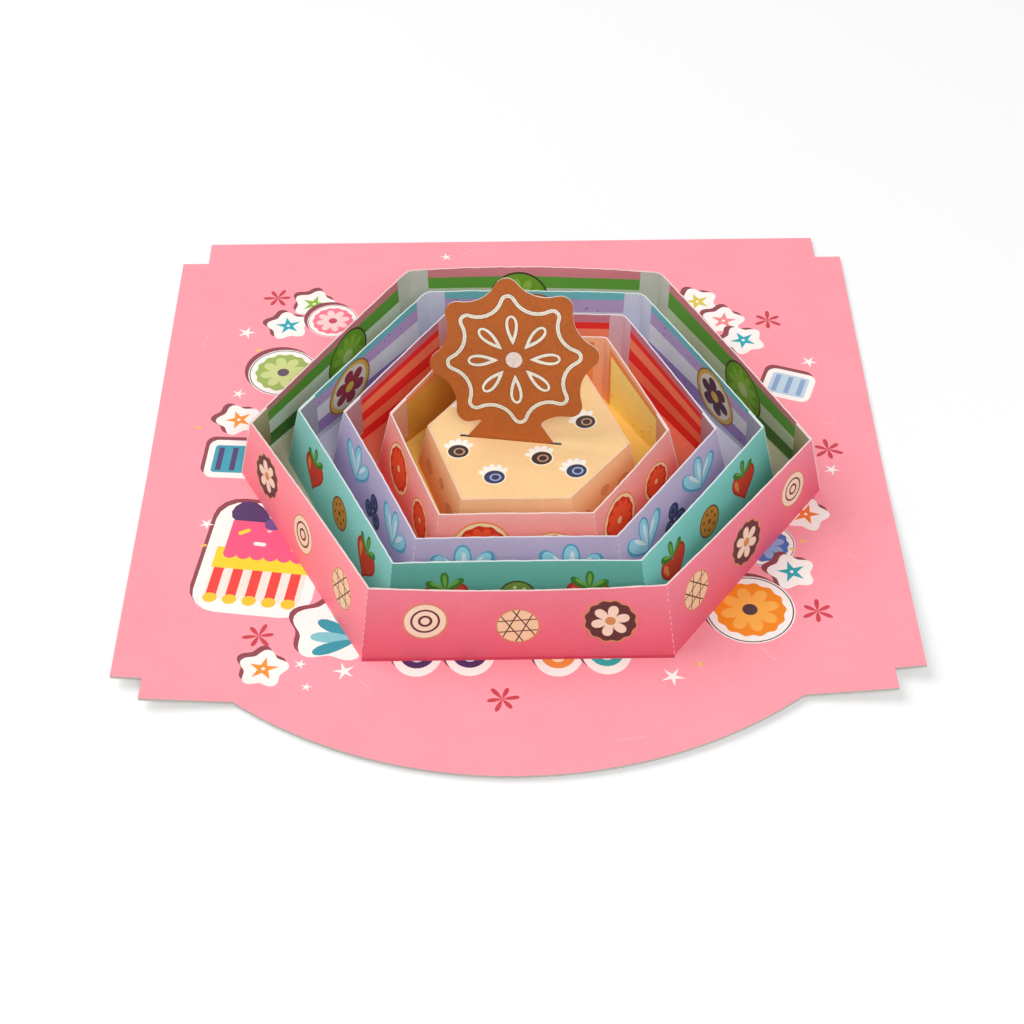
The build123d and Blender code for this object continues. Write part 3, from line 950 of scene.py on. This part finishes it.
def red_rosette(radius):
    """A red rosette of petals inside a cream rim."""
    shapes = [
        (disc(0, 0, radius, steps=36), Ink("ee8b43")),
        (disc(0, 0, radius * 0.94, steps=36), Ink("f9e2b4")),
        (disc(0, 0, radius * 0.82, lobes=11, lobe=0.03, steps=66), Ink("d9341c")),
    ]
    for k in range(11):
        shapes.append((drop(0, 0, radius * 0.74, radius * 0.30, 360 * k / 11 + 8), Ink("f0562c")))
    shapes.append((disc(0, 0, radius * 0.13, steps=10), Ink("f9d9a8")))
    return shapes


def coral_outside(centre, k):
    """Two rosettes on a wall, the left one larger."""
    shapes = print_at(red_rosette(7.4), centre - 8.5, 11.0)
    return shapes + print_at(red_rosette(5.8), centre + 9.0, 9.4, turn=15)


def coral_inside(start, length, k):
    """A speckled yellow panel, lightest on the right-hand wall and darkest on the left: painted light and
    shade.
    """
    far = start + length
    panel = [(start + 4.5, -BLEED), (far - 4.5, -BLEED)]
    panel += [(far - 4.0, SLANT - 3.6), (start + 5.0, SLANT - 3.9)]
    # painted light and shade: the panel's tones for the back-right, back and back-left walls
    top, foot = (("fff6a2", "fff07c"), ("fbe08a", "f2c864"), ("e2b24e", "c88e30"))[k]
    shapes = [(slab(start + 3.0, -BLEED, far - 3.0, SLANT - 1.6), Ink("ee9658"))]
    shapes.append((panel, Ink(top, foot, SLANT)))
    shapes += specks(start, length, 1.0, 14.0, 16, 0.34, Ink("cf9c2a"), seed=40 + k)
    return shapes


make_ring(
    "coral_ring", coral_ring, Ink("ffb4ae", "fd5f63", SLANT), coral_outside, coral_inside,
    inner_ground=Ink("f8bf9d", "f0a67e", SLANT), tab_ink=Ink("e2aa90", gloss=0.0),
    bows=[0.2, 0.3, -0.1, 0.1, -0.1, 0.2], seed=2, pale=Ink("ffd6d2"), edge=Ink("f0d6d0", gloss=0.0),
)

# Lavender ring
# Lilac card with fans of light blue drops and navy rounds on its outer faces, and red and salmon stripes
# under a mauve margin on the inner faces of the back walls.

lavender_ring = Ring(2)


def blue_fan(size):
    """A fan of light blue drops edged in a deeper blue."""
    shapes = []
    for turn in (50, 90, 130):
        shapes.append((drop(0, -4.6, 11.5, 4.6, turn), Ink("58a9c8")))
        shapes.append((drop(0, -4.0, 10.3, 3.6, turn), Ink("9edcec")))
        shapes.append((drop(0.3, -2.5, 7.2, 1.2, turn), Ink("e4f3f6")))
    return print_at(shapes, 0, 0, size=size)


def navy_round(radius):
    """A navy round with a paler ring in it."""
    return [
        (disc(0, 0, radius), Ink("2b3157")),
        (disc(-0.2, 0.2, radius * 0.62), Ink("545f92")),
        (disc(-0.2, 0.2, radius * 0.40), Ink("2b3157")),
    ]


def lavender_outside(centre, k):
    """Two fans on a wall with three rounds between them. The front wall is printed a little darker, as
    painted shade.
    """
    front_painted_shade = Ink("c6bad8", "a094c2", SLANT)
    shapes = painted_light_wash(lavender_ring, centre, k, front_painted_shade) if k == FRONT_WALL else []
    shapes += print_at(blue_fan(1.0), centre - 13, 11.8, turn=4)
    shapes += print_at(blue_fan(1.0), centre + 13, 11.8, turn=-4)
    for x, y in ((-2.4, 6.5), (2.4, 6.5), (0.0, 10.4)):
        shapes += print_at(navy_round(2.4), centre + x, y)
    return shapes


def lavender_inside(start, length, k):
    """Red and salmon stripes under a mauve margin."""
    red, salmon = Ink("ee3a35", "e42c28", SLANT), Ink("f8a07a", "f28c62", SLANT)
    stripes = ((2.6, Ink("c98a9d")), (2.2, red), (3.8, salmon), (3.9, red), (4.0, salmon), (8.0, red))
    return bands(start, length, SLANT, 4.0, stripes)


make_ring(
    "lavender_ring", lavender_ring, Ink("cfc3e0", "a698cb", SLANT), lavender_outside, lavender_inside,
    inner_ground=Ink("ddc8d0", "d3b6c4", SLANT), tab_ink=Ink("bda2ad", gloss=0.0),
    bows=[0.2, 0.5, 0.1, -0.2, -0.2, 0.1], seed=3, pale=Ink("e4deee"), edge=Ink("dfd8e2", gloss=0.0),
)

# Teal ring
# Green-blue card with red hearts in leaves and amber or green rounds on its outer faces. The inner faces of
# the back walls have a turquoise margin over speckled purple and grey stripes, with one round on each.

teal_ring = Ring(3)
TEAL_TOP, TEAL_FOOT = "86d3c3", "4c9c8d"
TEAL_PAINTED_LIGHT = {3: ("a2e6e0", "6cbeb6"), 4: ("6cb7aa", "3c887b"), 5: ("92e4de", "5cb2ac")}  # painted light and shade on the front walls: lighter on the left and right, darker in the middle


def leafy_heart(steps=32):
    """A red heart with an orange gleam and three leaves over it."""
    outline = []
    for k in range(steps):
        angle = 2 * pi * k / steps
        x = 5.6 * sin(angle) ** 3
        y = 4.6 * cos(angle) - 1.9 * cos(2 * angle) - 0.8 * cos(3 * angle) - 0.35 * cos(4 * angle)
        outline.append((x, y * 1.05))
    shapes = [(outline, Ink("b3241d")), ([(x * 0.88, y * 0.88 + 0.1) for x, y in outline], Ink("d93a27"))]
    shapes.append((drop(-2.6, -1.6, 4.4, 1.7, 105), Ink("f08a4a")))
    for turn in (35, 90, 145):
        shapes.append((drop(0, 2.2, 5.6, 2.1, turn), Ink("3c7a2a")))
        shapes.append((drop(0, 2.8, 4.2, 1.0, turn), Ink("74ab45")))
    return shapes


def dotted_round(radius, rim, fill, dot, dots=7):
    """A round with a dark rim and a ring of dots about a middle one."""
    shapes = [(disc(0, 0, radius), Ink(rim)), (disc(0, 0, radius * 0.90), Ink(fill))]
    for k in range(dots):
        angle = 2 * pi * k / dots
        x, y = 0.58 * radius * cos(angle), 0.58 * radius * sin(angle)
        shapes.append((disc(x, y, radius * 0.11, steps=8), Ink(dot)))
    shapes.append((disc(0, 0, radius * 0.16, steps=10), Ink(dot)))
    return shapes


def teal_outside(centre, k):
    """Two hearts on a wall with a round between them, amber and green in turn."""
    # the front walls get painted light and shade: a lighter wash on the left and right, a darker one in the
    # middle
    top, foot = TEAL_PAINTED_LIGHT.get(k, (TEAL_TOP, TEAL_FOOT))
    shapes = painted_light_wash(teal_ring, centre, k, Ink(top, foot, SLANT))
    shapes += print_at(leafy_heart(), centre - 17, 10.0, turn=6)
    shapes += print_at(leafy_heart(), centre + 17, 10.0, turn=-6)
    if k % 2:
        return shapes + print_at(dotted_round(4.6, "6b3d1c", "c9832f", "6b3d1c"), centre, 10.5)
    return shapes + print_at(dotted_round(4.6, "3f4a1c", "76913a", "d9d59a"), centre, 10.5)


def cream_rosette(radius, petal):
    """A cream round with a gold rim and dark red petals."""
    shapes = [
        (disc(0, 0, radius, steps=36), Ink("a8621f")),
        (disc(0, 0, radius * 0.94, steps=36), Ink("e2b64a")),
        (disc(0, 0, radius * 0.80, steps=36), Ink("ece3cb")),
    ]
    for k in range(6):
        shapes.append((drop(0, 0, radius * 0.72, radius * 0.44, 60 * k + 20), Ink(petal)))
    shapes.append((disc(0, 0, radius * 0.2, steps=14), Ink("e2b64a")))
    return shapes


def teal_inside(start, length, k):
    """Speckled purple and grey stripes under a turquoise margin, and a cream round."""
    purple, deep, grey = Ink("c6a4ca"), Ink("ab8cbf", "9c7cb4", SLANT), Ink("ebe5e1")
    stripes = ((2.4, Ink("74c4c4")), (4.3, purple), (6.4, grey), (5.4, deep), (8.0, Ink("c4c8cf")))
    shapes = bands(start, length, SLANT, 5.0, stripes)
    shapes += specks(start, length, SLANT - 6.4, SLANT - 2.8, 14, 0.34, Ink("8a5f96"), seed=60 + k)
    shapes += specks(start, length, SLANT - 18.0, SLANT - 13.6, 14, 0.34, Ink("5f3f78"), seed=70 + k)
    middle = start + length * (0.40, 0.5, 0.60)[k]
    return shapes + print_at(cream_rosette(8.8, ("5a2530", "a8323c", "9c2f3c")[k]), middle, SLANT - 9.6)


make_ring(
    "teal_ring", teal_ring, Ink(TEAL_TOP, TEAL_FOOT, SLANT), teal_outside, teal_inside,
    inner_ground=Ink("dfe0ea", "cdd0e2", SLANT), tab_ink=Ink("b0adb6", gloss=0.0),
    bows=[0.3, 0.9, 0.2, -0.3, -0.3, 0.2], seed=4, pale=Ink("a9dcd6"), edge=Ink("d2e2de", gloss=0.0),
)

# Pink ring
# The outermost ring, rose card with brown and cream sweets in rows of three on its outer faces, its front
# walls washed lighter and darker as painted light and shade. Inside, the back walls have a rose margin over
# green and pale green stripes and a green round, and bare corners printed grey as painted shade.

CHOCOLATE, CREAM, CARAMEL = "5c2a2a", "f4dcc2", "d08f55"
PINK_PAINTED_LIGHT = {3: ("ff9aa4", "fb7e8e"), FRONT_WALL: ("ec8190", "e55c72")}  # painted light and shade: the front-left wall lighter, the front wall darker
SWEET_PITCH = 22.0
SWEET_HEIGHTS = (11.2, 9.6, 10.6)


def petal_sweet(radius):
    """A scalloped brown sweet with a cream flower."""
    shapes = [(disc(0, 0, radius, lobes=12, lobe=0.04, steps=72), Ink(CARAMEL))]
    shapes.append((disc(0, 0, radius * 0.94, lobes=12, lobe=0.04, steps=72), Ink(CHOCOLATE)))
    for k in range(6):
        shapes.append((drop(0, 0, radius * 0.74, radius * 0.40, 60 * k + 30), Ink(CREAM)))
    shapes.append((disc(0, 0, radius * 0.2, steps=14), Ink(CARAMEL)))
    return shapes


def ringed_sweet(radius):
    """A cream sweet with brown rings."""
    shapes = [(disc(0, 0, radius), Ink(CARAMEL)), (disc(0, 0, radius * 0.93), Ink(CREAM))]
    for outer, inner in ((0.66, 0.56), (0.32, 0.2)):
        shapes.append((disc(0, 0, radius * outer), Ink(CHOCOLATE)))
        shapes.append((disc(0, 0, radius * inner), Ink(CREAM)))
    return shapes


def crossed_sweet(radius):
    """A cream sweet crossed with thin brown lines."""
    shapes = [(disc(0, 0, radius), Ink(CARAMEL)), (disc(0, 0, radius * 0.94), Ink("f2cfa6"))]
    for turn in (20, 80, 140):
        for offset in (-0.32, 0.32):
            half = radius * sqrt(1 - offset**2) * 0.93
            line = [(slab(-half, offset * radius - 0.16, half, offset * radius + 0.16), Ink(CHOCOLATE))]
            shapes += print_at(line, 0, 0, turn=turn)
    return shapes


def pink_outside(centre, k):
    """Three sweets in a row on a wall, in an order that shifts from wall to wall."""
    sweets = (petal_sweet(6.4), ringed_sweet(5.4), crossed_sweet(5.2))
    # painted light and shade: the front-left wall gets a lighter wash, the front wall a darker one, the
    # rest one a little darker than the ground
    top, foot = PINK_PAINTED_LIGHT.get(k, ("f0889a", "e8627a"))
    shapes = painted_light_wash(outer_ring, centre, k, Ink(top, foot, SLANT))
    for spot, height in enumerate(SWEET_HEIGHTS):
        x = centre + SWEET_PITCH * (spot - 1)
        shapes += print_at(sweets[(spot + k) % 3], x, height, turn=11 * k)
    return shapes


def green_rosette(radius):
    """A green round with a brown rim and paler petals."""
    shapes = [
        (disc(0, 0, radius, steps=36), Ink("4e4420")),
        (disc(0, 0, radius * 0.93, steps=36), Ink("79a82e")),
    ]
    for k in range(10):
        shapes.append((drop(0, 0, radius * 0.78, radius * 0.28, 36 * k + 10), Ink("9cc248")))
    shapes.append((disc(0, 0, radius * 0.26, steps=16), Ink("d3dc9a")))
    return shapes


def pink_inside(start, length, k):
    """Green and pale green stripes under a rose margin, and a green round."""
    # painted light: the pale green is printed lighter on the back-left wall
    sage = Ink(("d8dcbc", "d4dac0", "e4eada")[k])
    green, deep = Ink("6aa63f"), Ink("4a8a30", "3f7a2a", SLANT)
    stripes = ((2.7, Ink("e68690")), ((5.6, 3.6, 4.6)[k], green), (6.0, sage), (5.6, deep), (8.0, sage))
    shapes = bands(start, length, SLANT, 5.5, stripes)
    middle = start + length * (0.44, 0.56, 0.40)[k]
    return shapes + print_at(green_rosette(8.8), middle, SLANT - 10.2)


make_ring(
    "pink_ring", outer_ring, Ink("f98c9a", "ee5c74", SLANT), pink_outside, pink_inside,
    # the bare corners inside are printed grey, darker than the bare card, as painted shade
    inner_ground=Ink("d8d2ca", gloss=0.0), tab_ink=Ink("cbb48e", "94784c", SLANT, gloss=0.0),
    bows=[0.4, 2.2, 0.3, -0.3, 1.3, 0.3], seed=5,
    pale=Ink("f9bcc2"), edge=Ink("eed2d0", gloss=0.0),
)

# Lid
# A hexagon of cream card, printed with small crowned rounds and let into the hub flush with its top edge.
# Two flaps are glued inside the hub's front and back walls, and a slit across the middle takes the
# biscuit's neck.

LID_FLAP = 7.0
LID_FLAP_INSET = 4.0
LID_FLAP_TAPER = 1.5
SLIT_PLAY = 0.15
SLIT_OVERRUN = 2.0
SLIT_SIDE = -4.3  # of the slit's middle, along the line between the hub's side corners
SLIT_BACK = -2.4  # and across that line
BISCUIT_THICKNESS = 0.5
BISCUIT_LEAN = 19.0  # degrees
NECK_FOOT_WIDTH = 23.2
tilt = radians(BISCUIT_LEAN)
lid_corners = hub.section(0.0, [CARD + LID_PLAY] * 6)
lid_normals = outward_normals(lid_corners)
lid_top = BOARD_THICKNESS + HUB_HEIGHT
hub_right, hub_left = hub.corners[0], hub.corners[3]
slit_along = (hub_right - hub_left).normalized()
slit_back = Vector((-slit_along.y, slit_along.x))
slit_middle = (hub_right + hub_left) / 2 + slit_along * SLIT_SIDE + slit_back * SLIT_BACK


def lid_outline():
    """Flat outline of the lid with its two flaps folded out."""
    outline = []
    narrow = LID_FLAP_INSET + LID_FLAP_TAPER
    for i in range(6):
        start, end = lid_corners[i], lid_corners[(i + 1) % 6]
        outline.append(tuple(start))
        if i in (BACK_WALL, FRONT_WALL):
            along = (end - start).normalized()
            out = lid_normals[i] * LID_FLAP
            for spot in (
                start + along * LID_FLAP_INSET,
                start + along * narrow + out,
                end - along * narrow + out,
                end - along * LID_FLAP_INSET,
            ):
                outline.append(tuple(spot))
    return outline


def in_hub(point, side):
    """Place of a flat point of the lid: level, or down inside a wall on the two flaps."""
    spot = Vector(point[:2])
    for i, foot_out in ((BACK_WALL, -BACK_FOOT_REACH), (FRONT_WALL, FRONT_FOOT_REACH)):
        lean = atan(foot_out / RING_HEIGHT)
        past = (spot - lid_corners[i]).dot(lid_normals[i])
        if past > 0.001:
            spot -= lid_normals[i] * (past - past * sin(lean))
            spot -= lid_normals[i] * (CARD * side)
            return Vector((spot.x, spot.y, lid_top - past * cos(lean) - CARD * sin(lean) * side))
    return Vector((spot.x, spot.y, lid_top - CARD * side))


def lid_slit():
    """Outline of the slit."""
    half_width = (BISCUIT_THICKNESS / cos(tilt) + CARD * tan(tilt)) / 2 + SLIT_PLAY
    half_length = NECK_FOOT_WIDTH / 2 + SLIT_OVERRUN
    middle = slit_middle - slit_back * (CARD / 2 * tan(tilt))
    return [
        tuple(middle + slit_along * half_length * x + slit_back * half_width * y)
        for x, y in ((-1, -1), (1, -1), (1, 1), (-1, 1))
    ]


def crowned_round(fill, ring):
    """A small dark round with rings and a crown of white petals over it."""
    shapes = [(drop(0, 0.4, 3.4, 1.3, 90 + 30 * k), Ink("f6f1ea")) for k in (-2, -1, 0, 1, 2)]
    shapes.append((disc(0, 0, 2.4, squash=0.9), Ink("f8ecd2")))
    shapes.append((disc(0, 0, 2.1, squash=0.9), Ink(fill)))
    shapes.append((disc(0.2, -0.1, 1.2, squash=0.9), Ink(ring)))
    shapes.append((disc(0.2, -0.1, 0.8, squash=0.9), Ink(fill)))
    return shapes


LID_ROUNDS = ((-15.0, -6.5), (-5.5, -16.5), (7.0, -9.5), (16.0, -14.5), (19.0, 4.5), (-13.0, 12.0))
lid_print = []
for k, (x, y) in enumerate(LID_ROUNDS):
    fill, ring = (("352320", "b98a6a"), ("2d3357", "9aa3c9"))[k % 2]
    lid_print += print_at(crowned_round(fill, ring), x, y, turn=8 * k, size=1.3)
lid = cut_sheet(
    "lid_sheet", printed_card, [lid_outline()], (Ink("f5cb92"), BARE), (lid_print, []), in_hub,
    holes=[lid_slit()],
    folds=[(tuple(lid_corners[i]), tuple(lid_corners[i + 1])) for i in (BACK_WALL, FRONT_WALL)],
)
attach(lid, "root")
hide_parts("hub_lid")

# Biscuit
# A scalloped round of brown card, printed with a wavy star, eight loops and a dot of cream icing. It leans
# back on a flared neck that goes through the lid's slit and is folded forwards and glued under the lid.

BISCUIT_RADIUS = 22.4
BISCUIT_RISE = 22.7
BISCUIT_TURN = 8.0
SCALLOPS = 8
SCALLOP_DEPTH = 3.8
SCALLOP_ROUND = 3.2
NECK_TOP_WIDTH = 15.9
NECK_HEIGHT = 4.8
NECK_TAB = 6.0
NECK_TAB_INSET = 1.0
ICING_WIDTH = 0.98
ICING_EDGE = 0.2  # dark line along both sides of the icing
ICING_TIP, ICING_HOLLOW, ICING_ROUND = 17.6, 13.8, 1.7  # outer, inner and tip radius of the star
VEIN_SHARE = 0.16  # of the icing's width, to either side of its middle
LOOP_TURN = -2.0  # degrees, of the loops beside the scallops
sink = (CARD + BISCUIT_THICKNESS - BISCUIT_THICKNESS / 2 * sin(tilt)) / cos(tilt)

biscuit_card = card_stock("biscuit_card", mottle=0.34, fleck=0.52, grain=1500.0)


def wavy_round(tip, hollow, tip_round, turn, steps=8):
    """Outline of a round whose rounded tips are joined by hollow arcs that run smoothly into them."""
    half_pitch = pi / SCALLOPS
    tip_middle = Vector((tip - tip_round, 0))
    spare = tip_round - hollow
    hollow_centre = (tip_middle.x**2 - spare**2) / (2 * (tip_middle.x * cos(half_pitch) + spare))
    hollow_middle = Vector((hollow_centre, 0))
    outwards = Vector((1, 0))
    tip_swing = outwards.angle(Matrix.Rotation(half_pitch, 2) @ hollow_middle - tip_middle)
    hollow_swing = pi - outwards.angle(Matrix.Rotation(half_pitch, 2) @ tip_middle - hollow_middle)
    outline = []
    for i in range(SCALLOPS):
        angle = radians(turn) + 2 * half_pitch * i
        for k in range(steps):
            swing = tip_swing * (2 * k / (steps - 1) - 1)
            spot = tip_middle + Vector((cos(swing), sin(swing))) * tip_round
            outline.append(tuple(Matrix.Rotation(angle, 2) @ spot))
        for k in range(1, steps - 1):
            swing = pi + hollow_swing * (1 - 2 * k / (steps - 1))
            spot = hollow_middle + Vector((cos(swing), sin(swing))) * (hollow_centre - hollow)
            outline.append(tuple(Matrix.Rotation(angle + half_pitch, 2) @ spot))
    return outline


def biscuit_outlines():
    """Flat outlines of the biscuit, its neck and its tab, which run together."""
    rim = wavy_round(BISCUIT_RADIUS, BISCUIT_RADIUS - SCALLOP_DEPTH, SCALLOP_ROUND, BISCUIT_TURN + 90)
    top, foot = NECK_TOP_WIDTH / 2, NECK_FOOT_WIDTH / 2
    right = [(foot, 0), (top, NECK_HEIGHT), (top, BISCUIT_RISE)]
    neck = right + [(-x, y) for x, y in reversed(right)]
    tab = slab(NECK_TAB_INSET - foot, -sink - NECK_TAB, foot - NECK_TAB_INSET, 0)
    return [[(x, y + BISCUIT_RISE) for x, y in rim], neck, tab]


def on_face(point, side):
    """Place of a flat point of the biscuit: leaning back over the lid, or folded forwards under it."""
    along = slit_along.to_3d()
    back = slit_back.to_3d()
    up = back * sin(tilt) + Vector((0, 0, cos(tilt)))
    out = back * -cos(tilt) + Vector((0, 0, sin(tilt)))
    base = slit_middle.to_3d() + Vector((0, 0, lid_top)) + along * point[0]
    spot = base + up * max(point[1], -sink) + out * (BISCUIT_THICKNESS * (0.5 - side))
    past = -sink - point[1]
    if past > 0:
        under_lid = lid_top - CARD - BISCUIT_THICKNESS * side
        spot.z += (under_lid - spot.z) * min(1.0, past / BISCUIT_THICKNESS)
        spot -= back * past
    return spot


BISCUIT_INK = Ink("b75e1e")
ICING = Ink("f1e9d6")
ICING_VEIN = Ink("ddd8c4")
ICING_LINE = Ink("8f4a22")


def icing_ring(tip, hollow, tip_round):
    """A wavy line of icing with a dark edge on both sides and a faint line along its middle."""
    turn = BISCUIT_TURN + 90
    half = ICING_WIDTH / 2
    vein = VEIN_SHARE * ICING_WIDTH
    shapes = []
    for out, ink in (
        (half + ICING_EDGE, ICING_LINE),
        (half, ICING),
        (vein, ICING_VEIN),
        (-vein, ICING),
        (-half, ICING_LINE),
        (-half - ICING_EDGE, BISCUIT_INK),
    ):
        shapes.append((wavy_round(tip + out, hollow + out, tip_round + out, turn), ink))
    return shapes


def icing_loop(turn):
    """A drop-shaped loop of icing that points at the middle."""
    shapes = []
    for start, length, width, ink in (
        (3.7, 8.8, 3.75, ICING_LINE),
        (4.1, 8.2, 3.3, ICING),
        (6.2, 5.45, 1.75, ICING_LINE),
        (6.7, 4.75, 1.35, BISCUIT_INK),
    ):
        x, y = start * cos(radians(turn)), start * sin(radians(turn))
        shapes.append((drop(x, y, length, width, turn, 24), ink))
    return shapes


icing = icing_ring(ICING_TIP, ICING_HOLLOW, ICING_ROUND)
for k in range(SCALLOPS):
    icing += icing_loop(360 / SCALLOPS * k + 90 + BISCUIT_TURN + LOOP_TURN)
icing += [(disc(0, 0, 2.4), ICING_LINE), (disc(0, 0, 2.2), Ink("f0ddd2"))]
icing = print_at(icing, 0, BISCUIT_RISE)
tab_half = NECK_FOOT_WIDTH / 2 - NECK_TAB_INSET
biscuit = cut_sheet(
    "biscuit_sheet", biscuit_card, biscuit_outlines(), (BISCUIT_INK, BISCUIT_INK), (icing, []), on_face,
    folds=[((-tab_half, -sink), (tab_half, -sink))],
)
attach(biscuit, "root")
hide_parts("biscuit")

# Floor, light and camera
# A plain white table, a large soft lamp behind on the left and a smaller one in front, and the camera,
# which looks half down at the card from in front.

FLOOR_SIZE = 4.0  # metres, as are the lamps' places and sizes
FLOOR_DROP = 0.0002
FLOOR_SHADE = 0.84
FLOOR_GLOW = 0.12  # what the camera sees on top of the light, so that the table reads white
SKY_LEVEL = 0.42
KEY_PLACE, KEY_SIZE, KEY_POWER = (-1.2, 0.6, 1.7), 1.8, 25.0
FILL_PLACE, FILL_SIZE, FILL_POWER = (0.25, -1.05, 1.15), 0.7, 10.0
CAMERA_AIM = (-1.0, -14.9, 0.8)  # millimetres, as is the distance; the angles are in degrees
CAMERA_DISTANCE = 534.4
CAMERA_DOWN = 44.78
CAMERA_TURN = 0.18
CAMERA_ROLL = -0.556
LENS = 70.55

floor_mesh = bpy.data.meshes.new("table")
floor_half = FLOOR_SIZE / 2
floor_corners = [(x, y, -FLOOR_DROP) for x, y in slab(-floor_half, -floor_half, floor_half, floor_half)]
floor_mesh.from_pydata(floor_corners, [], [(0, 1, 2, 3)])
table = bpy.data.objects.new("table", floor_mesh)
bpy.context.scene.collection.objects.link(table)
table_white, shader, place = new_material("table_white")
shader.inputs["Base Color"].default_value = (FLOOR_SHADE, FLOOR_SHADE, FLOOR_SHADE, 1.0)
shader.inputs["Roughness"].default_value = 0.7
shader.inputs["Emission Color"].default_value = (1.0, 1.0, 1.0, 1.0)
seen = place.node("ShaderNodeLightPath", {}, {})  # its first output is Is Camera Ray
glow = seen * FLOOR_GLOW
glow.feeds(shader.inputs["Emission Strength"])
floor_mesh.materials.append(table_white)

scene = bpy.context.scene
scene.view_settings.view_transform = "Standard"
world = bpy.data.worlds.new("studio")
world.use_nodes = True
scene.world = world
sky = world.node_tree.nodes["Background"]
sky.inputs["Color"].default_value = (1.0, 1.0, 1.0, 1.0)
paths = world.node_tree.nodes.new("ShaderNodeLightPath").outputs
straight = Socket(paths["Is Camera Ray"])
mirrored = straight.maths("ADD", Socket(paths["Is Glossy Ray"]), Socket(paths["Is Transmission Ray"]))
shown = straight.maths("MAXIMUM", straight, mirrored)
level = SKY_LEVEL + shown * (1.0 - SKY_LEVEL)
level.feeds(sky.inputs["Strength"])

for name, spot, size, power in (
    ("key", KEY_PLACE, KEY_SIZE, KEY_POWER),
    ("fill", FILL_PLACE, FILL_SIZE, FILL_POWER),
):
    lamp_data = bpy.data.lights.new(name, "AREA")
    lamp_data.shape = "DISK"
    lamp_data.size = size
    lamp_data.energy = power
    lamp = bpy.data.objects.new(name, lamp_data)
    lamp.location = spot
    lamp.rotation_euler = (-Vector(spot)).to_track_quat("-Z", "Y").to_euler()
    scene.collection.objects.link(lamp)

aside = radians(CAMERA_TURN)
ahead = Vector((sin(aside), cos(aside), -tan(radians(CAMERA_DOWN)))).normalized()
camera_data = bpy.data.cameras.new("camera")
camera_data.lens = LENS
camera = bpy.data.objects.new("camera", camera_data)
scene.collection.objects.link(camera)
facing = ahead.to_track_quat("-Z", "Y").to_matrix() @ Matrix.Rotation(radians(CAMERA_ROLL), 3, "Z")
stand = (Vector(CAMERA_AIM) - ahead * CAMERA_DISTANCE) / METRE
camera.matrix_world = Matrix.Translation(stand) @ facing.to_4x4()
scene.camera = camera
